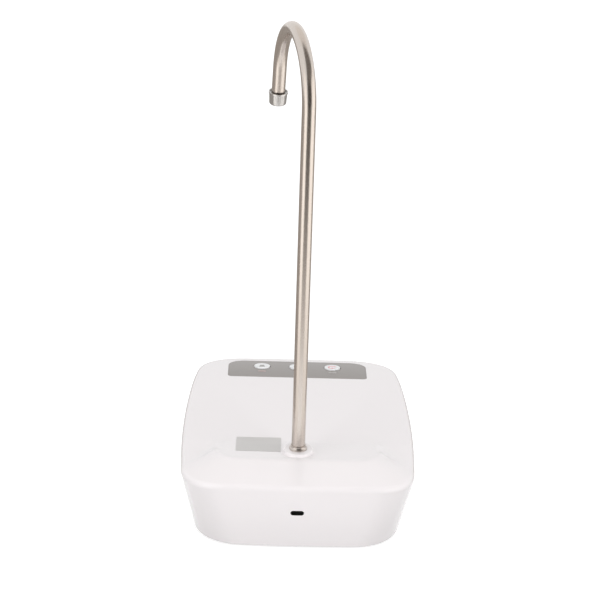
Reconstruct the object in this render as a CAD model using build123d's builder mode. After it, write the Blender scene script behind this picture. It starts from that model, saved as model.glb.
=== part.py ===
"""Desktop pump for bottled water, in millimetres.

The low white housing stands on a table, with the cup deck in the middle, three keys on the sloping nose
at the front (-Y) and a hump at the rear (+Y) that carries the swivelling gooseneck spout.
+Z is up, and the origin is on the table, at the centre of the housing's outline.
"""
import os
from math import asin, atan2, cos, degrees, exp, log, radians, sin, sqrt

from build123d import *

# Housing: outline seen from above
body_length = 194.5
body_width = 140.6
widest_y = 22.0
front_taper = 16.6
rear_taper = 7.2
end_bow = 2.0
front_corner_radius = 30.0
rear_corner_radius = 24.0
front_y = -body_length / 2
rear_y = body_length / 2

# Housing: heights above the table
shell_base = 1.2
deck_height = 39.6
hump_rise = 5.9
rim_drop = 0.3
belt_drop = 2.6
crest_height = deck_height + hump_rise
rim_height = deck_height - rim_drop
belt_height = deck_height - belt_drop

# Housing: walls, drawn in towards the base at the sides and at the ends
wall = 2.4
side_lean = 8.4
end_lean = 0.6
corner_growth = 4.4
rim_radius = 3.0
fit_gap = 0.2
overrun = 1.0
block_top = crest_height + overrun

# Housing: the nose that carries the keys, and the hump that carries the spout
nose_length = 52.25
nose_radius = 250.0
nose_y = front_y + nose_length
ramp_length = 35.6
band_length = 24.75
crest_y = rear_y - band_length
ramp_y = crest_y - ramp_length
scoop_x = 58.6
scoop_reach = 21.0
scoop_turn = 60.0
horn_x = 49.5
horn_reach = 12.0
horn_rise = 1.7
shoulder_slope_share = 0.28
corner_cut = 13.0
crest_blend = 0.2
horn_blend = 0.14
shoulder_blend = 0.7
centre_blend = 1.0
grid_step = 2.4
grid_margin = 5.0
surface_tolerance = 0.02

# Spout: where it stands and how it is bent
foot_inset = 37.25
foot_y = rear_y - foot_inset
boss_rise = 1.0
boss_height = crest_height + boss_rise
boss_radius = 9.4
boss_top_radius = 8.7
boss_edge_radius = 0.8
tube_radius = 4.0
tube_wall = 0.6
spring_height = 253.6
bend_radius = 36.0
bend_angle = 171.5
outlet_leg = 22.5
swivel_angle = 13.3
tube_running_gap = 0.08

# Metal ring round the foot of the spout
collar_radius = 5.3
collar_rim = 0.9
collar_flare = 1.7
collar_top_radius = 4.5
collar_edge = 0.3
flare_middle_share = 0.25
collar_neck_radius = 5.0
collar_neck_length = 3.4
press_gap = 0.03

# Plug on the spout's foot, with its two seals
tube_end_height = 30.5
plug_base = 26.0
plug_radius = 5.9
plug_bore_radius = 2.6
plug_flange_radius = 6.8
plug_flange_base = 35.6
plug_flange_top = 38.1
groove_radius = 4.6
groove_width = 1.6
seal_heights = (28.6, 33.0)
seal_gap = 0.05

# Socket that the plug turns in
socket_top = 38.6
socket_radius = 9.0
socket_foot_radius = 7.0
socket_step_height = 16.5
chamber_base = 17.0
chamber_radius = 4.2
socket_gap = 0.15
skirt_wall = 2.0
skirt_base = 32.0

# Outlet end of the spout
nozzle_radius = 5.4
nozzle_taper = 3.0
nozzle_length = 7.8
nozzle_ribs = 24
rib_depth = 0.3
rib_width = 0.5
nozzle_rim_radius = 5.7
nozzle_rim_height = 0.9
nozzle_rim_wall = 0.6
nozzle_cup_depth = 1.4
nozzle_bottom_radius = 0.9
nozzle_lip = 1.1
notch_count = 8
notch_radius = 0.5
notch_depth = 1.6
strainer_thickness = 1.6
strainer_hole_radius = 0.55
strainer_pitch = 1.7
strainer_rows = 3

# Control panel and keys
panel_width = 90.0
panel_length = 32.9
panel_inset = 8.75
panel_front_y = front_y + panel_inset
panel_rear_y = panel_front_y + panel_length
panel_front_corner = 11.0
panel_rear_corner = 2.5
panel_thickness = 1.4
panel_gap = 0.1
panel_ledge = 12.0
panel_front_ledge = 2.4
key_inset = 13.0
key_y = panel_front_y + key_inset
key_pitch = 23.05
key_radius = 5.2
key_gap = 0.3
key_rise = 0.7
key_edge = 0.4
key_dish_radius = 3.4
key_dish_depth = 0.25
key_dish_taper = 60.0
key_flange_radius = 6.3
key_flange_thickness = 1.0
key_flange_gap = 0.25
key_stem_radius = 2.0
key_stem_length = 0.85
key_travel = 0.5
key_names = ("left", "middle", "right")

# Key board and its switches
plunger_radius = 1.6
plunger_length = 1.9
plunger_gap = 0.08
switch_size = 6.0
switch_height = 3.1
switch_top_gap = 0.9
key_board_width = 80.0
key_board_length = 18.0
key_board_thickness = 1.2
key_post_x = 37.0
key_post_offset = 6.0
key_post_radius = 2.4
pilot_radius = 0.9
pilot_depth = 4.0

# Bottom cover
cover_thickness = 2.2
cover_top = shell_base + cover_thickness
screw_x = 45.6
front_screw_inset = 21.25
rear_screw_inset = 20.25
cover_screws = ((screw_x, front_y + front_screw_inset), (-screw_x, front_y + front_screw_inset),
                (screw_x, rear_y - rear_screw_inset), (-screw_x, rear_y - rear_screw_inset))
cover_pad_radius = 5.2
cover_pad_height = 3.0
boss_post_radius = 4.2
case_screw_radius = 1.4
case_screw_length = 12.0
case_head_radius = 2.7
case_head_height = 1.6
case_head_depth = 3.0
screw_clearance = 0.3
thread_gap = 0.05

# Rubber feet
foot_pad_radius = 6.0
foot_pad_recess = 0.8
foot_pad_edge = 0.5
foot_pad_x = 46.0
foot_pad_inset = 39.25
foot_pad_front_y = front_y + foot_pad_inset
foot_pad_rear_y = rear_y - foot_pad_inset

# Hose pocket in the underside, with the inlet fitting
hose_hole_radius = 5.6
pocket_inner_x = 44.0
pocket_half_width = 8.0
pocket_top = 20.6
pocket_wall = 1.8
pocket_outer_x = 56.4
fitting_outer_radius = 3.1
fitting_outer_length = 11.0
fitting_inner_length = 7.0
fitting_flange_radius = 5.0
fitting_flange_thickness = 1.6
barb_height = 0.45
barb_pitch = 2.4
barb_count = 3

# Pump and motor, on one axis along X
pump_y = -22.0
pump_height = 17.0
motor_radius = 12.15
motor_length = 30.8
motor_front_x = -3.0
motor_can_wall = 1.0
motor_boss_radius = 4.0
motor_boss_length = 1.6
shaft_radius = 1.0
shaft_gap = 0.05
shaft_front_length = 7.0
rotor_radius = 7.6
rotor_length = 16.0
rotor_slots = 3
rotor_slot_width = 1.6
rotor_slot_depth = 4.5
magnet_gap = 0.5
magnet_split = 5.0
magnet_length = 18.0
end_cap_thickness = 2.4
terminal_width = 2.4
terminal_thickness = 0.5
pump_radius = 13.0
crankcase_length = 14.0
crankcase_wall = 3.4
crankcase_floor = 1.6
eccentric_radius = 6.5
eccentric_length = 4.8
eccentric_offset = 2.4
crank_pin_radius = 0.9
crank_pin_length = 2.2
wobble_radius = 9.0
wobble_thickness = 1.8
wobble_gap = 0.4
wobble_arm_width = 5.0
wobble_ring_wall = 1.1
wobble_ring_length = 1.6
crank_pin_gap = 0.4
diaphragm_thickness = 1.4
cup_count = 3
cup_radius = 3.4
cup_ring_radius = 6.0
cup_turn = 30.0
valve_plate_thickness = 2.4
valve_hole_radius = 0.6
pump_cover_thickness = 4.6
pump_port_offset = 7.5
pump_port_drop = 4.5
pump_port_radius = 2.15
pump_port_bore = 1.2
pump_port_length = 9.0
pump_screw_radius = 0.9
pump_screw_head_radius = 1.7
pump_screw_head_height = 1.2
pump_screw_ring_radius = 11.3
pump_screw_turn = 90.0
pump_screw_count = 3
pump_screw_length = 18.0

# Inner hoses
hose_fit = 0.05
hose_wall = 1.5
hose_bend_radius = 9.0
hose_overlap = 6.0
hose_run_x = 43.0

# Battery
battery_radius = 9.1
battery_length = 65.0
battery_x = -8.0
battery_y = 20.0
battery_seat = 1.0
battery_cap_radius = 3.2
battery_cap_length = 1.2
battery_edge = 0.8

# Straps that hold the motor and the battery in their cradles
strap_thickness = 1.6
strap_width = 10.0
strap_ear = 8.0
strap_gap = 0.15
strap_screw_radius = 1.1
strap_screw_head_radius = 2.2
strap_screw_head_height = 1.3
strap_screw_length = 8.0
cradle_thickness = 2.0
cradle_pitch = 20.0
strap_post_radius = 3.2

# Main board with the charging socket
port_height = 23.3
port_width = 7.9
port_opening = 3.1
usb_width = 7.5
usb_height = 2.5
usb_depth = 5.6
usb_wall = 0.35
usb_tongue = 0.8
board_width = 36.0
board_length = 19.0
board_thickness = 1.6
board_gap = 0.9
board_post_radius = 2.4
board_post_inset = 3.0
board_chip = 6.0
board_chip_height = 1.5


def smooth_min(first, second, blend):
    """The lower of two heights, with the corner between them rounded over about the blend."""
    low = min(first, second)
    return low - blend * log(exp((low - first) / blend) + exp((low - second) / blend))


def smooth_max(first, second, blend):
    """The higher of two heights, with the corner between them rounded over about the blend."""
    return -smooth_min(-first, -second, blend)


def nose_drop(y):
    """How far the deck has curved down at this place on the nose."""
    return max(0.0, nose_y - y) ** 2 / (2 * nose_radius)


def top_height(x, y):
    """Height of the housing's upper face: deck, nose, ramp with its horns, crest, rear band and scoops."""
    across = sqrt(x * x + centre_blend**2)
    deck = deck_height - nose_drop(y)
    horn = horn_rise * max(0.0, 1 - abs(horn_x - across) / horn_reach) ** 2
    ramp = deck_height + (hump_rise + horn) * (y - ramp_y) / ramp_length
    climb = (scoop_x - across) * sin(radians(scoop_turn)) + (y - ramp_y) * cos(radians(scoop_turn))
    scoop = deck_height + hump_rise * (max(0.0, climb) / scoop_reach) ** 3
    front = smooth_max(deck, smooth_min(ramp, scoop, horn_blend), crest_blend)
    band = crest_height - (crest_height - rim_height) * (y - crest_y) / band_length
    shoulder = rim_height + shoulder_slope_share * (body_width / 2 - end_bow - across)
    from_corner = (body_width / 2 - across + rear_y - y) / sqrt(2) - corner_cut
    corner = rim_height + shoulder_slope_share * from_corner
    rear = smooth_min(smooth_min(band, shoulder, shoulder_blend), corner, shoulder_blend)
    return smooth_min(front, rear, crest_blend)


def upper_face():
    """The upper face as one smooth surface, a little larger than the housing."""
    half_x = body_width / 2 + grid_margin
    half_y = body_length / 2 + grid_margin
    columns = round(2 * half_x / grid_step)
    rows = round(2 * half_y / grid_step)
    places_x = [half_x * (2 * i / columns - 1) for i in range(columns + 1)]
    places_y = [half_y * (2 * j / rows - 1) for j in range(rows + 1)]
    points = [[Vector(x, y, top_height(x, y)) for y in places_y] for x in places_x]
    return Face.make_surface_from_array_of_points(points, tol=surface_tolerance)


def body_outline(height, inset):
    """The housing's outline at a height: it draws in towards the base, and its corners get rounder."""
    fall_share = (belt_height - height) / (belt_height - shell_base)
    side_x = body_width / 2 - side_lean * fall_share
    front_end = front_y + end_lean * fall_share
    rear_end = rear_y - end_lean * fall_share
    growth = corner_growth * fall_share - inset
    front_corner = (side_x - front_taper / 2, front_end + end_bow)
    rear_corner = (side_x - rear_taper / 2, rear_end - end_bow)
    with BuildSketch(Plane.XY.offset(height)) as outline:
        with BuildLine():
            ThreePointArc(front_corner, (side_x, widest_y), rear_corner)
            ThreePointArc(rear_corner, (0, rear_end), (-rear_corner[0], rear_corner[1]))
            ThreePointArc((-rear_corner[0], rear_corner[1]), (-side_x, widest_y),
                          (-front_corner[0], front_corner[1]))
            ThreePointArc((-front_corner[0], front_corner[1]), (0, front_end), front_corner)
        make_face()
        if inset > 0:
            offset(amount=-inset, kind=Kind.ARC)
        fillet(outline.vertices().group_by(Axis.Y)[-1], rear_corner_radius + growth)
        fillet(outline.vertices().group_by(Axis.Y)[0], front_corner_radius + growth)
    return outline.sketch


def side_profile(drop):
    """Side view of the housing's inside: deck, nose and rear band, a wall's thickness down."""
    last_y = front_y - grid_margin
    beyond_y = rear_y + grid_margin
    band_slope = (crest_height - rim_height) / (rear_y - crest_y)
    band_start = crest_y + (crest_height - deck_height) / band_slope
    with BuildSketch(Plane.YZ) as profile:
        with BuildLine():
            Line((band_start, deck_height - drop), (nose_y, deck_height - drop))
            nose = Spline((nose_y, deck_height - drop), (key_y, deck_height - drop - nose_drop(key_y)),
                          (last_y, deck_height - drop - nose_drop(last_y)))
            Polyline(nose @ 1, (last_y, 0), (beyond_y, 0),
                     (beyond_y, crest_height - drop - band_slope * (beyond_y - crest_y)),
                     (band_start, deck_height - drop))
        make_face()
    return profile.sketch


def panel_outline():
    """The control panel seen from above: near corners tight, front corners wide."""
    with BuildSketch() as outline:
        with Locations((0, (panel_rear_y + panel_front_y) / 2)):
            Rectangle(panel_width, panel_rear_y - panel_front_y)
        fillet(outline.vertices().group_by(Axis.Y)[0], panel_front_corner)
        fillet(outline.vertices().group_by(Axis.Y)[-1], panel_rear_corner)
    return outline.sketch


def strap_post_places(strap_x, centre_y, radius):
    """The two posts beside a round body that a strap is screwed to."""
    reach = radius + strap_gap + strap_thickness + strap_ear / 2
    return [(strap_x, centre_y - reach), (strap_x, centre_y + reach)]


def strap(strap_x, centre_y, centre_height, radius):
    """A half-round strap over a cylinder along X, with a screwed ear at each side."""
    inner = radius + strap_gap
    outer = inner + strap_thickness
    with BuildPart() as band:
        with BuildSketch(Plane.YZ.offset(strap_x)):
            with Locations((centre_y, centre_height)):
                Circle(outer)
            with Locations((centre_y, centre_height + strap_thickness / 2)):
                Rectangle(2 * (outer + strap_ear), strap_thickness)
            with Locations((centre_y, centre_height)):
                Circle(inner, mode=Mode.SUBTRACT)
            with Locations((centre_y, centre_height - outer)):
                Rectangle(2 * (outer + strap_ear), 2 * outer, mode=Mode.SUBTRACT)
        extrude(amount=strap_width / 2, both=True)
        with BuildSketch(Plane.XY.offset(centre_height)):
            with Locations(*strap_post_places(strap_x, centre_y, radius)):
                Circle(strap_screw_radius + screw_clearance)
        extrude(amount=strap_thickness, mode=Mode.SUBTRACT)
    return band.part


def save(part, name):
    """Label a finished piece and write it under its name."""
    part.label = name
    export_step(part, f"parts/{name}.step")


# Places worked out from the sizes above
key_slope = degrees(asin((nose_y - key_y) / nose_radius))
key_surface = deck_height - nose_drop(key_y)
key_plane = Plane(origin=(0, key_y, key_surface), x_dir=(1, 0, 0),
                  z_dir=(0, -sin(radians(key_slope)), cos(radians(key_slope))))
flange_top = -panel_thickness - key_flange_gap
flange_bottom = flange_top - key_flange_thickness
plunger_top = flange_bottom - key_stem_length
switch_top = plunger_top - switch_top_gap
board_top = switch_top - switch_height
key_places = [(-key_pitch, 0), (0, 0), (key_pitch, 0)]
pump_plane = Plane(origin=(0, pump_y, pump_height), x_dir=(0, 1, 0), z_dir=(1, 0, 0))
foot_plane = Plane(origin=(0, foot_y, 0))
swivel = Vector(sin(radians(swivel_angle)), -cos(radians(swivel_angle)), 0)
spout_plane = Plane(origin=(0, foot_y, 0), x_dir=swivel, z_dir=swivel.cross(Vector(0, 0, 1)))
pad_top = cover_top + cover_pad_height
flare_foot_radius = collar_radius - collar_edge
flare_middle_radius = collar_top_radius + flare_middle_share * (flare_foot_radius - collar_top_radius)
skirt_radius = socket_radius + socket_gap + skirt_wall
motor_rear_x = motor_front_x - motor_length
shaft_front_x = motor_front_x + shaft_front_length
rotor_middle_x = motor_front_x - motor_length / 2
diaphragm_x = motor_front_x + crankcase_length
wobble_ring_radius = eccentric_offset + crank_pin_radius + crank_pin_gap
wobble_x = shaft_front_x + crank_pin_length + wobble_gap
pump_cover_x = diaphragm_x + diaphragm_thickness + valve_plate_thickness
port_tip_x = pump_cover_x + pump_cover_thickness + pump_port_length
pump_port_side = sqrt(pump_port_offset**2 - pump_port_drop**2)
pump_port_places = [(-pump_port_side, -pump_port_drop), (pump_port_side, pump_port_drop)]
hose_port_y = pump_y - pump_port_side
hose_port_height = pump_height - pump_port_drop
outlet_port_y = pump_y + pump_port_side
outlet_port_height = pump_height + pump_port_drop
inlet_plane = Plane(origin=(0, hose_port_y, hose_port_height), x_dir=(0, 1, 0), z_dir=(1, 0, 0))
fitting_inner_x = pocket_inner_x - pocket_wall - fitting_flange_thickness
barb_taper = degrees(atan2(barb_height, barb_pitch))
seal_outer = plug_radius + tube_running_gap - seal_gap
battery_height = cover_top + battery_seat + battery_radius
battery_plane = Plane(origin=(battery_x, battery_y, battery_height), x_dir=(0, 1, 0), z_dir=(1, 0, 0))
motor_strap_x = motor_front_x - motor_length / 2
motor_rib_places = (motor_strap_x - cradle_pitch / 2, motor_strap_x + cradle_pitch / 2)
battery_rib_places = (battery_x - cradle_pitch, battery_x + cradle_pitch)
strap_seats = [(strap_post_places(motor_strap_x, pump_y, motor_radius), pump_height),
               (strap_post_places(battery_x, battery_y, battery_radius), battery_height)]
foot_pad_places = [(x, y) for x in (-foot_pad_x, foot_pad_x) for y in (foot_pad_front_y, foot_pad_rear_y)]
wall_inside_y = rear_y - wall - end_lean * (belt_height - port_height) / (belt_height - shell_base)
board_height = port_height - usb_height / 2 - board_thickness
board_middle_y = wall_inside_y - board_gap - board_length / 2
board_chip_y = board_middle_y - board_chip / 2
board_post_places = [(x, board_middle_y + y)
                     for x in (board_post_inset - board_width / 2, board_width / 2 - board_post_inset)
                     for y in (board_post_inset - board_length / 2, board_length / 2 - board_post_inset)]
usb_plane = Plane(origin=(0, wall_inside_y - fit_gap, port_height), x_dir=(1, 0, 0), z_dir=(0, -1, 0))

os.makedirs("parts", exist_ok=True)

# Top shell: the white moulded housing
with BuildPart() as housing_block:
    add(body_outline(shell_base, 0))
    add(body_outline(block_top, 0))
    loft()
    extrude(to_extrude=upper_face(), amount=block_top, dir=(0, 0, -1), mode=Mode.INTERSECT)
    upper = housing_block.faces().filter_by(GeomType.BSPLINE).sort_by(Axis.Z)[-1]
    fillet(upper.edges(), rim_radius)

with BuildPart() as cavity:
    add(body_outline(shell_base, wall))
    add(body_outline(block_top, wall))
    loft()
    extrude(to_extrude=side_profile(wall), amount=body_width, both=True, mode=Mode.INTERSECT)
    # The screw posts, the key board's posts and the skirt round the spout's socket stay in the shell
    with BuildSketch(Plane.XY.offset(pad_top)):
        with Locations(*cover_screws):
            Circle(boss_post_radius)
    extrude(amount=block_top, mode=Mode.SUBTRACT)
    with BuildSketch(key_plane.offset(board_top)):
        with GridLocations(2 * key_post_x, 2 * key_post_offset, 2, 2):
            Circle(key_post_radius)
    extrude(amount=block_top, mode=Mode.SUBTRACT)
    with BuildSketch(foot_plane.offset(skirt_base)):
        Circle(skirt_radius)
    extrude(amount=block_top, mode=Mode.SUBTRACT)
    with BuildSketch(foot_plane.offset(skirt_base)):
        Circle(socket_radius + socket_gap)
    extrude(amount=socket_top - skirt_base)

with BuildPart() as panel_pocket:
    with BuildSketch() as pocket_outline:
        add(panel_outline())
        offset(amount=panel_gap)
    extrude(amount=block_top)
    extrude(to_extrude=side_profile(panel_thickness), amount=body_width, both=True, mode=Mode.SUBTRACT)

with BuildPart() as top_shell:
    add(housing_block.part)
    # Raised boss round the spout's foot
    with BuildSketch(foot_plane.offset(skirt_base)):
        Circle(boss_radius)
    extrude(amount=crest_height - rim_radius - skirt_base)
    with BuildSketch(foot_plane.offset(crest_height - rim_radius)):
        Circle(boss_radius)
    with BuildSketch(foot_plane.offset(boss_height)):
        Circle(boss_top_radius)
    loft()
    fillet(top_shell.edges().filter_by(GeomType.CIRCLE).sort_by(Axis.Z)[-1], boss_edge_radius)
    add(cavity.part, mode=Mode.SUBTRACT)
    # Bore for the neck of the spout's collar
    with BuildSketch(foot_plane.offset(skirt_base)):
        Circle(collar_neck_radius)
    extrude(amount=block_top, mode=Mode.SUBTRACT)
    # Pocket for the control panel, with a window for the keys
    add(panel_pocket.part, mode=Mode.SUBTRACT)
    with BuildSketch():
        with Locations((0, (panel_rear_y + panel_front_y) / 2)):
            Rectangle(panel_width - 2 * panel_ledge, panel_rear_y - panel_front_y - 2 * panel_front_ledge)
    extrude(amount=block_top, mode=Mode.SUBTRACT)
    # Slot for the charging plug, in the back face
    with BuildSketch(Plane(origin=(0, rear_y + overrun, port_height), x_dir=(1, 0, 0), z_dir=(0, -1, 0))):
        SlotOverall(port_width, port_opening)
    extrude(amount=overrun + end_lean + 2 * wall, mode=Mode.SUBTRACT)
    # Arched gap in the side wall for the supply hose
    with BuildSketch(Plane.YZ.offset(pocket_outer_x)):
        with Locations((hose_port_y, hose_port_height)):
            Circle(hose_hole_radius)
        with Locations((hose_port_y, hose_port_height / 2)):
            Rectangle(2 * hose_hole_radius, hose_port_height)
    extrude(amount=body_width / 2, mode=Mode.SUBTRACT)
    # Pilot holes in the posts
    with BuildSketch(Plane.XY.offset(pad_top)):
        with Locations(*cover_screws):
            Circle(case_screw_radius + thread_gap)
    extrude(amount=case_screw_length, mode=Mode.SUBTRACT)
    with BuildSketch(key_plane.offset(board_top)):
        with GridLocations(2 * key_post_x, 2 * key_post_offset, 2, 2):
            Circle(pilot_radius + thread_gap)
    extrude(amount=pilot_depth, mode=Mode.SUBTRACT)
save(top_shell.part, "top_shell")

# Bottom cover: closes the underside and carries everything inside
with BuildPart() as bottom_cover:
    add(body_outline(shell_base, wall + fit_gap))
    extrude(amount=cover_thickness)
    # Cradles under the motor, the pump head and the battery
    for rib_x in motor_rib_places:
        with BuildSketch(Plane.YZ.offset(rib_x)):
            with Locations((pump_y, (cover_top + pump_height) / 2)):
                Rectangle(2 * motor_radius, pump_height - cover_top)
            with Locations((pump_y, pump_height)):
                Circle(motor_radius + strap_gap, mode=Mode.SUBTRACT)
        extrude(amount=cradle_thickness / 2, both=True)
    for rib_x in battery_rib_places:
        with BuildSketch(Plane.YZ.offset(rib_x)):
            with Locations((battery_y, (cover_top + battery_height) / 2)):
                Rectangle(2 * battery_radius, battery_height - cover_top)
            with Locations((battery_y, battery_height)):
                Circle(battery_radius + strap_gap, mode=Mode.SUBTRACT)
        extrude(amount=cradle_thickness / 2, both=True)
    # Posts for the straps and the main board, pads for the case screws, ring round the socket's foot
    with BuildSketch(Plane.XY.offset(cover_top)):
        with Locations(*strap_post_places(motor_strap_x, pump_y, motor_radius)):
            Circle(strap_post_radius)
    extrude(amount=pump_height - cover_top)
    with BuildSketch(Plane.XY.offset(cover_top)):
        with Locations(*strap_post_places(battery_x, battery_y, battery_radius)):
            Circle(strap_post_radius)
    extrude(amount=battery_height - cover_top)
    with BuildSketch(Plane.XY.offset(cover_top)):
        with Locations(*board_post_places):
            Circle(board_post_radius)
    extrude(amount=board_height - cover_top)
    with BuildSketch(Plane.XY.offset(cover_top)):
        with Locations(*cover_screws):
            Circle(cover_pad_radius)
    extrude(amount=cover_pad_height)
    with BuildSketch(foot_plane.offset(cover_top)):
        Circle(socket_foot_radius + socket_gap + skirt_wall)
        Circle(socket_foot_radius + socket_gap, mode=Mode.SUBTRACT)
    extrude(amount=cover_pad_height)
    # Hose pocket, open downwards and to the side
    with BuildSketch(Plane.XY.offset(cover_top)):
        with Locations(((pocket_inner_x - pocket_wall + pocket_outer_x) / 2, hose_port_y)):
            Rectangle(pocket_outer_x - pocket_inner_x + pocket_wall, 2 * (pocket_half_width + pocket_wall))
    extrude(amount=pocket_top + pocket_wall - cover_top)
    with BuildSketch():
        with Locations((pocket_inner_x + body_width / 4, hose_port_y)):
            Rectangle(body_width / 2, 2 * pocket_half_width)
    extrude(amount=pocket_top, mode=Mode.SUBTRACT)
    with BuildSketch(Plane.YZ.offset(pocket_inner_x - pocket_wall)):
        with Locations((hose_port_y, hose_port_height)):
            Circle(fitting_outer_radius + thread_gap)
    extrude(amount=pocket_wall, mode=Mode.SUBTRACT)
    # Screw holes with sunk heads, seats for the feet, pilot holes for the strap and board screws
    with BuildSketch():
        with Locations(*cover_screws):
            Circle(case_screw_radius + screw_clearance)
    extrude(amount=pad_top, mode=Mode.SUBTRACT)
    with BuildSketch():
        with Locations(*cover_screws):
            Circle(case_head_radius + screw_clearance)
    extrude(amount=shell_base + case_head_depth, mode=Mode.SUBTRACT)
    with BuildSketch():
        with Locations(*foot_pad_places):
            Circle(foot_pad_radius + fit_gap)
    extrude(amount=shell_base + foot_pad_recess, mode=Mode.SUBTRACT)
    with BuildSketch(Plane.XY.offset(pump_height)):
        with Locations(*strap_post_places(motor_strap_x, pump_y, motor_radius)):
            Circle(strap_screw_radius + thread_gap)
    extrude(amount=strap_thickness - strap_screw_length, mode=Mode.SUBTRACT)
    with BuildSketch(Plane.XY.offset(battery_height)):
        with Locations(*strap_post_places(battery_x, battery_y, battery_radius)):
            Circle(strap_screw_radius + thread_gap)
    extrude(amount=strap_thickness - strap_screw_length, mode=Mode.SUBTRACT)
    with BuildSketch(Plane.XY.offset(board_height)):
        with Locations(*board_post_places):
            Circle(pilot_radius + thread_gap)
    extrude(amount=-pilot_depth, mode=Mode.SUBTRACT)
save(bottom_cover.part, "bottom_cover")

with BuildPart() as rubber_feet:
    with BuildSketch():
        with Locations(*foot_pad_places):
            Circle(foot_pad_radius)
    extrude(amount=shell_base + foot_pad_recess)
    fillet(rubber_feet.edges().group_by(Axis.Z)[0], foot_pad_edge)
save(rubber_feet.part, "rubber_feet")

with BuildPart() as case_screws:
    with BuildSketch(Plane.XY.offset(shell_base + case_head_depth)):
        with Locations(*cover_screws):
            Circle(case_head_radius)
    extrude(amount=-case_head_height)
    with BuildSketch(Plane.XY.offset(shell_base + case_head_depth)):
        with Locations(*cover_screws):
            Circle(case_screw_radius)
    extrude(amount=case_screw_length)
    with BuildSketch(Plane.XY.offset(shell_base + case_head_depth - case_head_height)):
        with Locations(*cover_screws):
            Rectangle(case_head_radius, case_head_height / 2)
            Rectangle(case_head_height / 2, case_head_radius)
    extrude(amount=case_head_height / 2, mode=Mode.SUBTRACT)
save(case_screws.part, "case_screws")

# Control panel and its three keys
with BuildPart() as control_panel:
    add(panel_outline())
    extrude(amount=block_top)
    add(housing_block.part, mode=Mode.INTERSECT)
    extrude(to_extrude=side_profile(panel_thickness), amount=body_width, both=True, mode=Mode.SUBTRACT)
    with BuildSketch(key_plane.offset(-2 * panel_thickness)):
        with Locations(*key_places):
            Circle(key_radius + key_gap)
    extrude(amount=4 * panel_thickness, mode=Mode.SUBTRACT)
save(control_panel.part, "control_panel")

for key_name, key_place in zip(key_names, key_places):
    with BuildPart() as button:
        with BuildSketch(key_plane.offset(flange_bottom)):
            with Locations(key_place):
                Circle(key_flange_radius)
        extrude(amount=key_flange_thickness)
        with BuildSketch(key_plane.offset(flange_top)):
            with Locations(key_place):
                Circle(key_radius)
        extrude(amount=key_rise - flange_top)
        fillet(button.edges().filter_by(GeomType.CIRCLE).sort_by(Axis.Z)[-1], key_edge)
        with BuildSketch(key_plane.offset(key_rise)):
            with Locations(key_place):
                Circle(key_dish_radius)
        extrude(amount=-key_dish_depth, taper=key_dish_taper, mode=Mode.SUBTRACT)
        with BuildSketch(key_plane.offset(plunger_top)):
            with Locations(key_place):
                Circle(key_stem_radius)
        extrude(amount=key_stem_length)
    save(button.part, f"button_{key_name}")

    with BuildPart() as plunger:
        with BuildSketch(key_plane.offset(plunger_top)):
            with Locations(key_place):
                Circle(plunger_radius)
        extrude(amount=-plunger_length)
    save(plunger.part, f"plunger_{key_name}")

with BuildPart() as key_switches:
    with BuildSketch(key_plane.offset(board_top)):
        with Locations(*key_places):
            Rectangle(switch_size, switch_size)
    extrude(amount=switch_height)
    with BuildSketch(key_plane.offset(switch_top)):
        with Locations(*key_places):
            Circle(plunger_radius + plunger_gap)
    extrude(amount=switch_top_gap - plunger_length - 2 * key_travel, mode=Mode.SUBTRACT)
save(key_switches.part, "key_switches")

with BuildPart() as key_board:
    with BuildSketch(key_plane.offset(board_top)):
        Rectangle(key_board_width, key_board_length)
        with GridLocations(2 * key_post_x, 2 * key_post_offset, 2, 2):
            Circle(pilot_radius + screw_clearance, mode=Mode.SUBTRACT)
    extrude(amount=-key_board_thickness)
save(key_board.part, "key_board")

with BuildPart() as key_board_screws:
    with BuildSketch(key_plane.offset(board_top - key_board_thickness)):
        with GridLocations(2 * key_post_x, 2 * key_post_offset, 2, 2):
            Circle(2 * pilot_radius)
    extrude(amount=-pilot_radius)
    with BuildSketch(key_plane.offset(board_top - key_board_thickness)):
        with GridLocations(2 * key_post_x, 2 * key_post_offset, 2, 2):
            Circle(pilot_radius)
    extrude(amount=key_board_thickness + pilot_depth - thread_gap)
save(key_board_screws.part, "key_board_screws")

# Spout: gooseneck, plug with seals, outlet
with BuildPart() as spout_collar:
    with BuildSketch(foot_plane.offset(boss_height - collar_neck_length)):
        Circle(collar_neck_radius - press_gap)
    extrude(amount=collar_neck_length)
    with BuildSketch(foot_plane.offset(boss_height)):
        Circle(collar_radius)
    extrude(amount=collar_rim)
    fillet(spout_collar.edges().filter_by(GeomType.CIRCLE).sort_by(Axis.Z)[-1], collar_edge)
    # The rim sweeps up to the pipe in a hollow flare
    with BuildSketch(Plane.XZ.offset(-foot_y)):
        with BuildLine():
            flare = ThreePointArc((flare_foot_radius, boss_height + collar_rim),
                                  (flare_middle_radius,
                                   boss_height + collar_rim + flare_middle_share * collar_flare),
                                  (collar_top_radius, boss_height + collar_rim + collar_flare))
            Polyline(flare @ 1, (tube_radius, boss_height + collar_rim + collar_flare),
                     (tube_radius, boss_height + collar_rim), flare @ 0)
        make_face()
    revolve(axis=Axis((0, foot_y, 0), (0, 0, 1)))
    with BuildSketch(foot_plane.offset(boss_height - collar_neck_length)):
        Circle(tube_radius + tube_running_gap)
    extrude(amount=collar_neck_length + collar_rim + collar_flare, mode=Mode.SUBTRACT)
save(spout_collar.part, "spout_collar")

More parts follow.
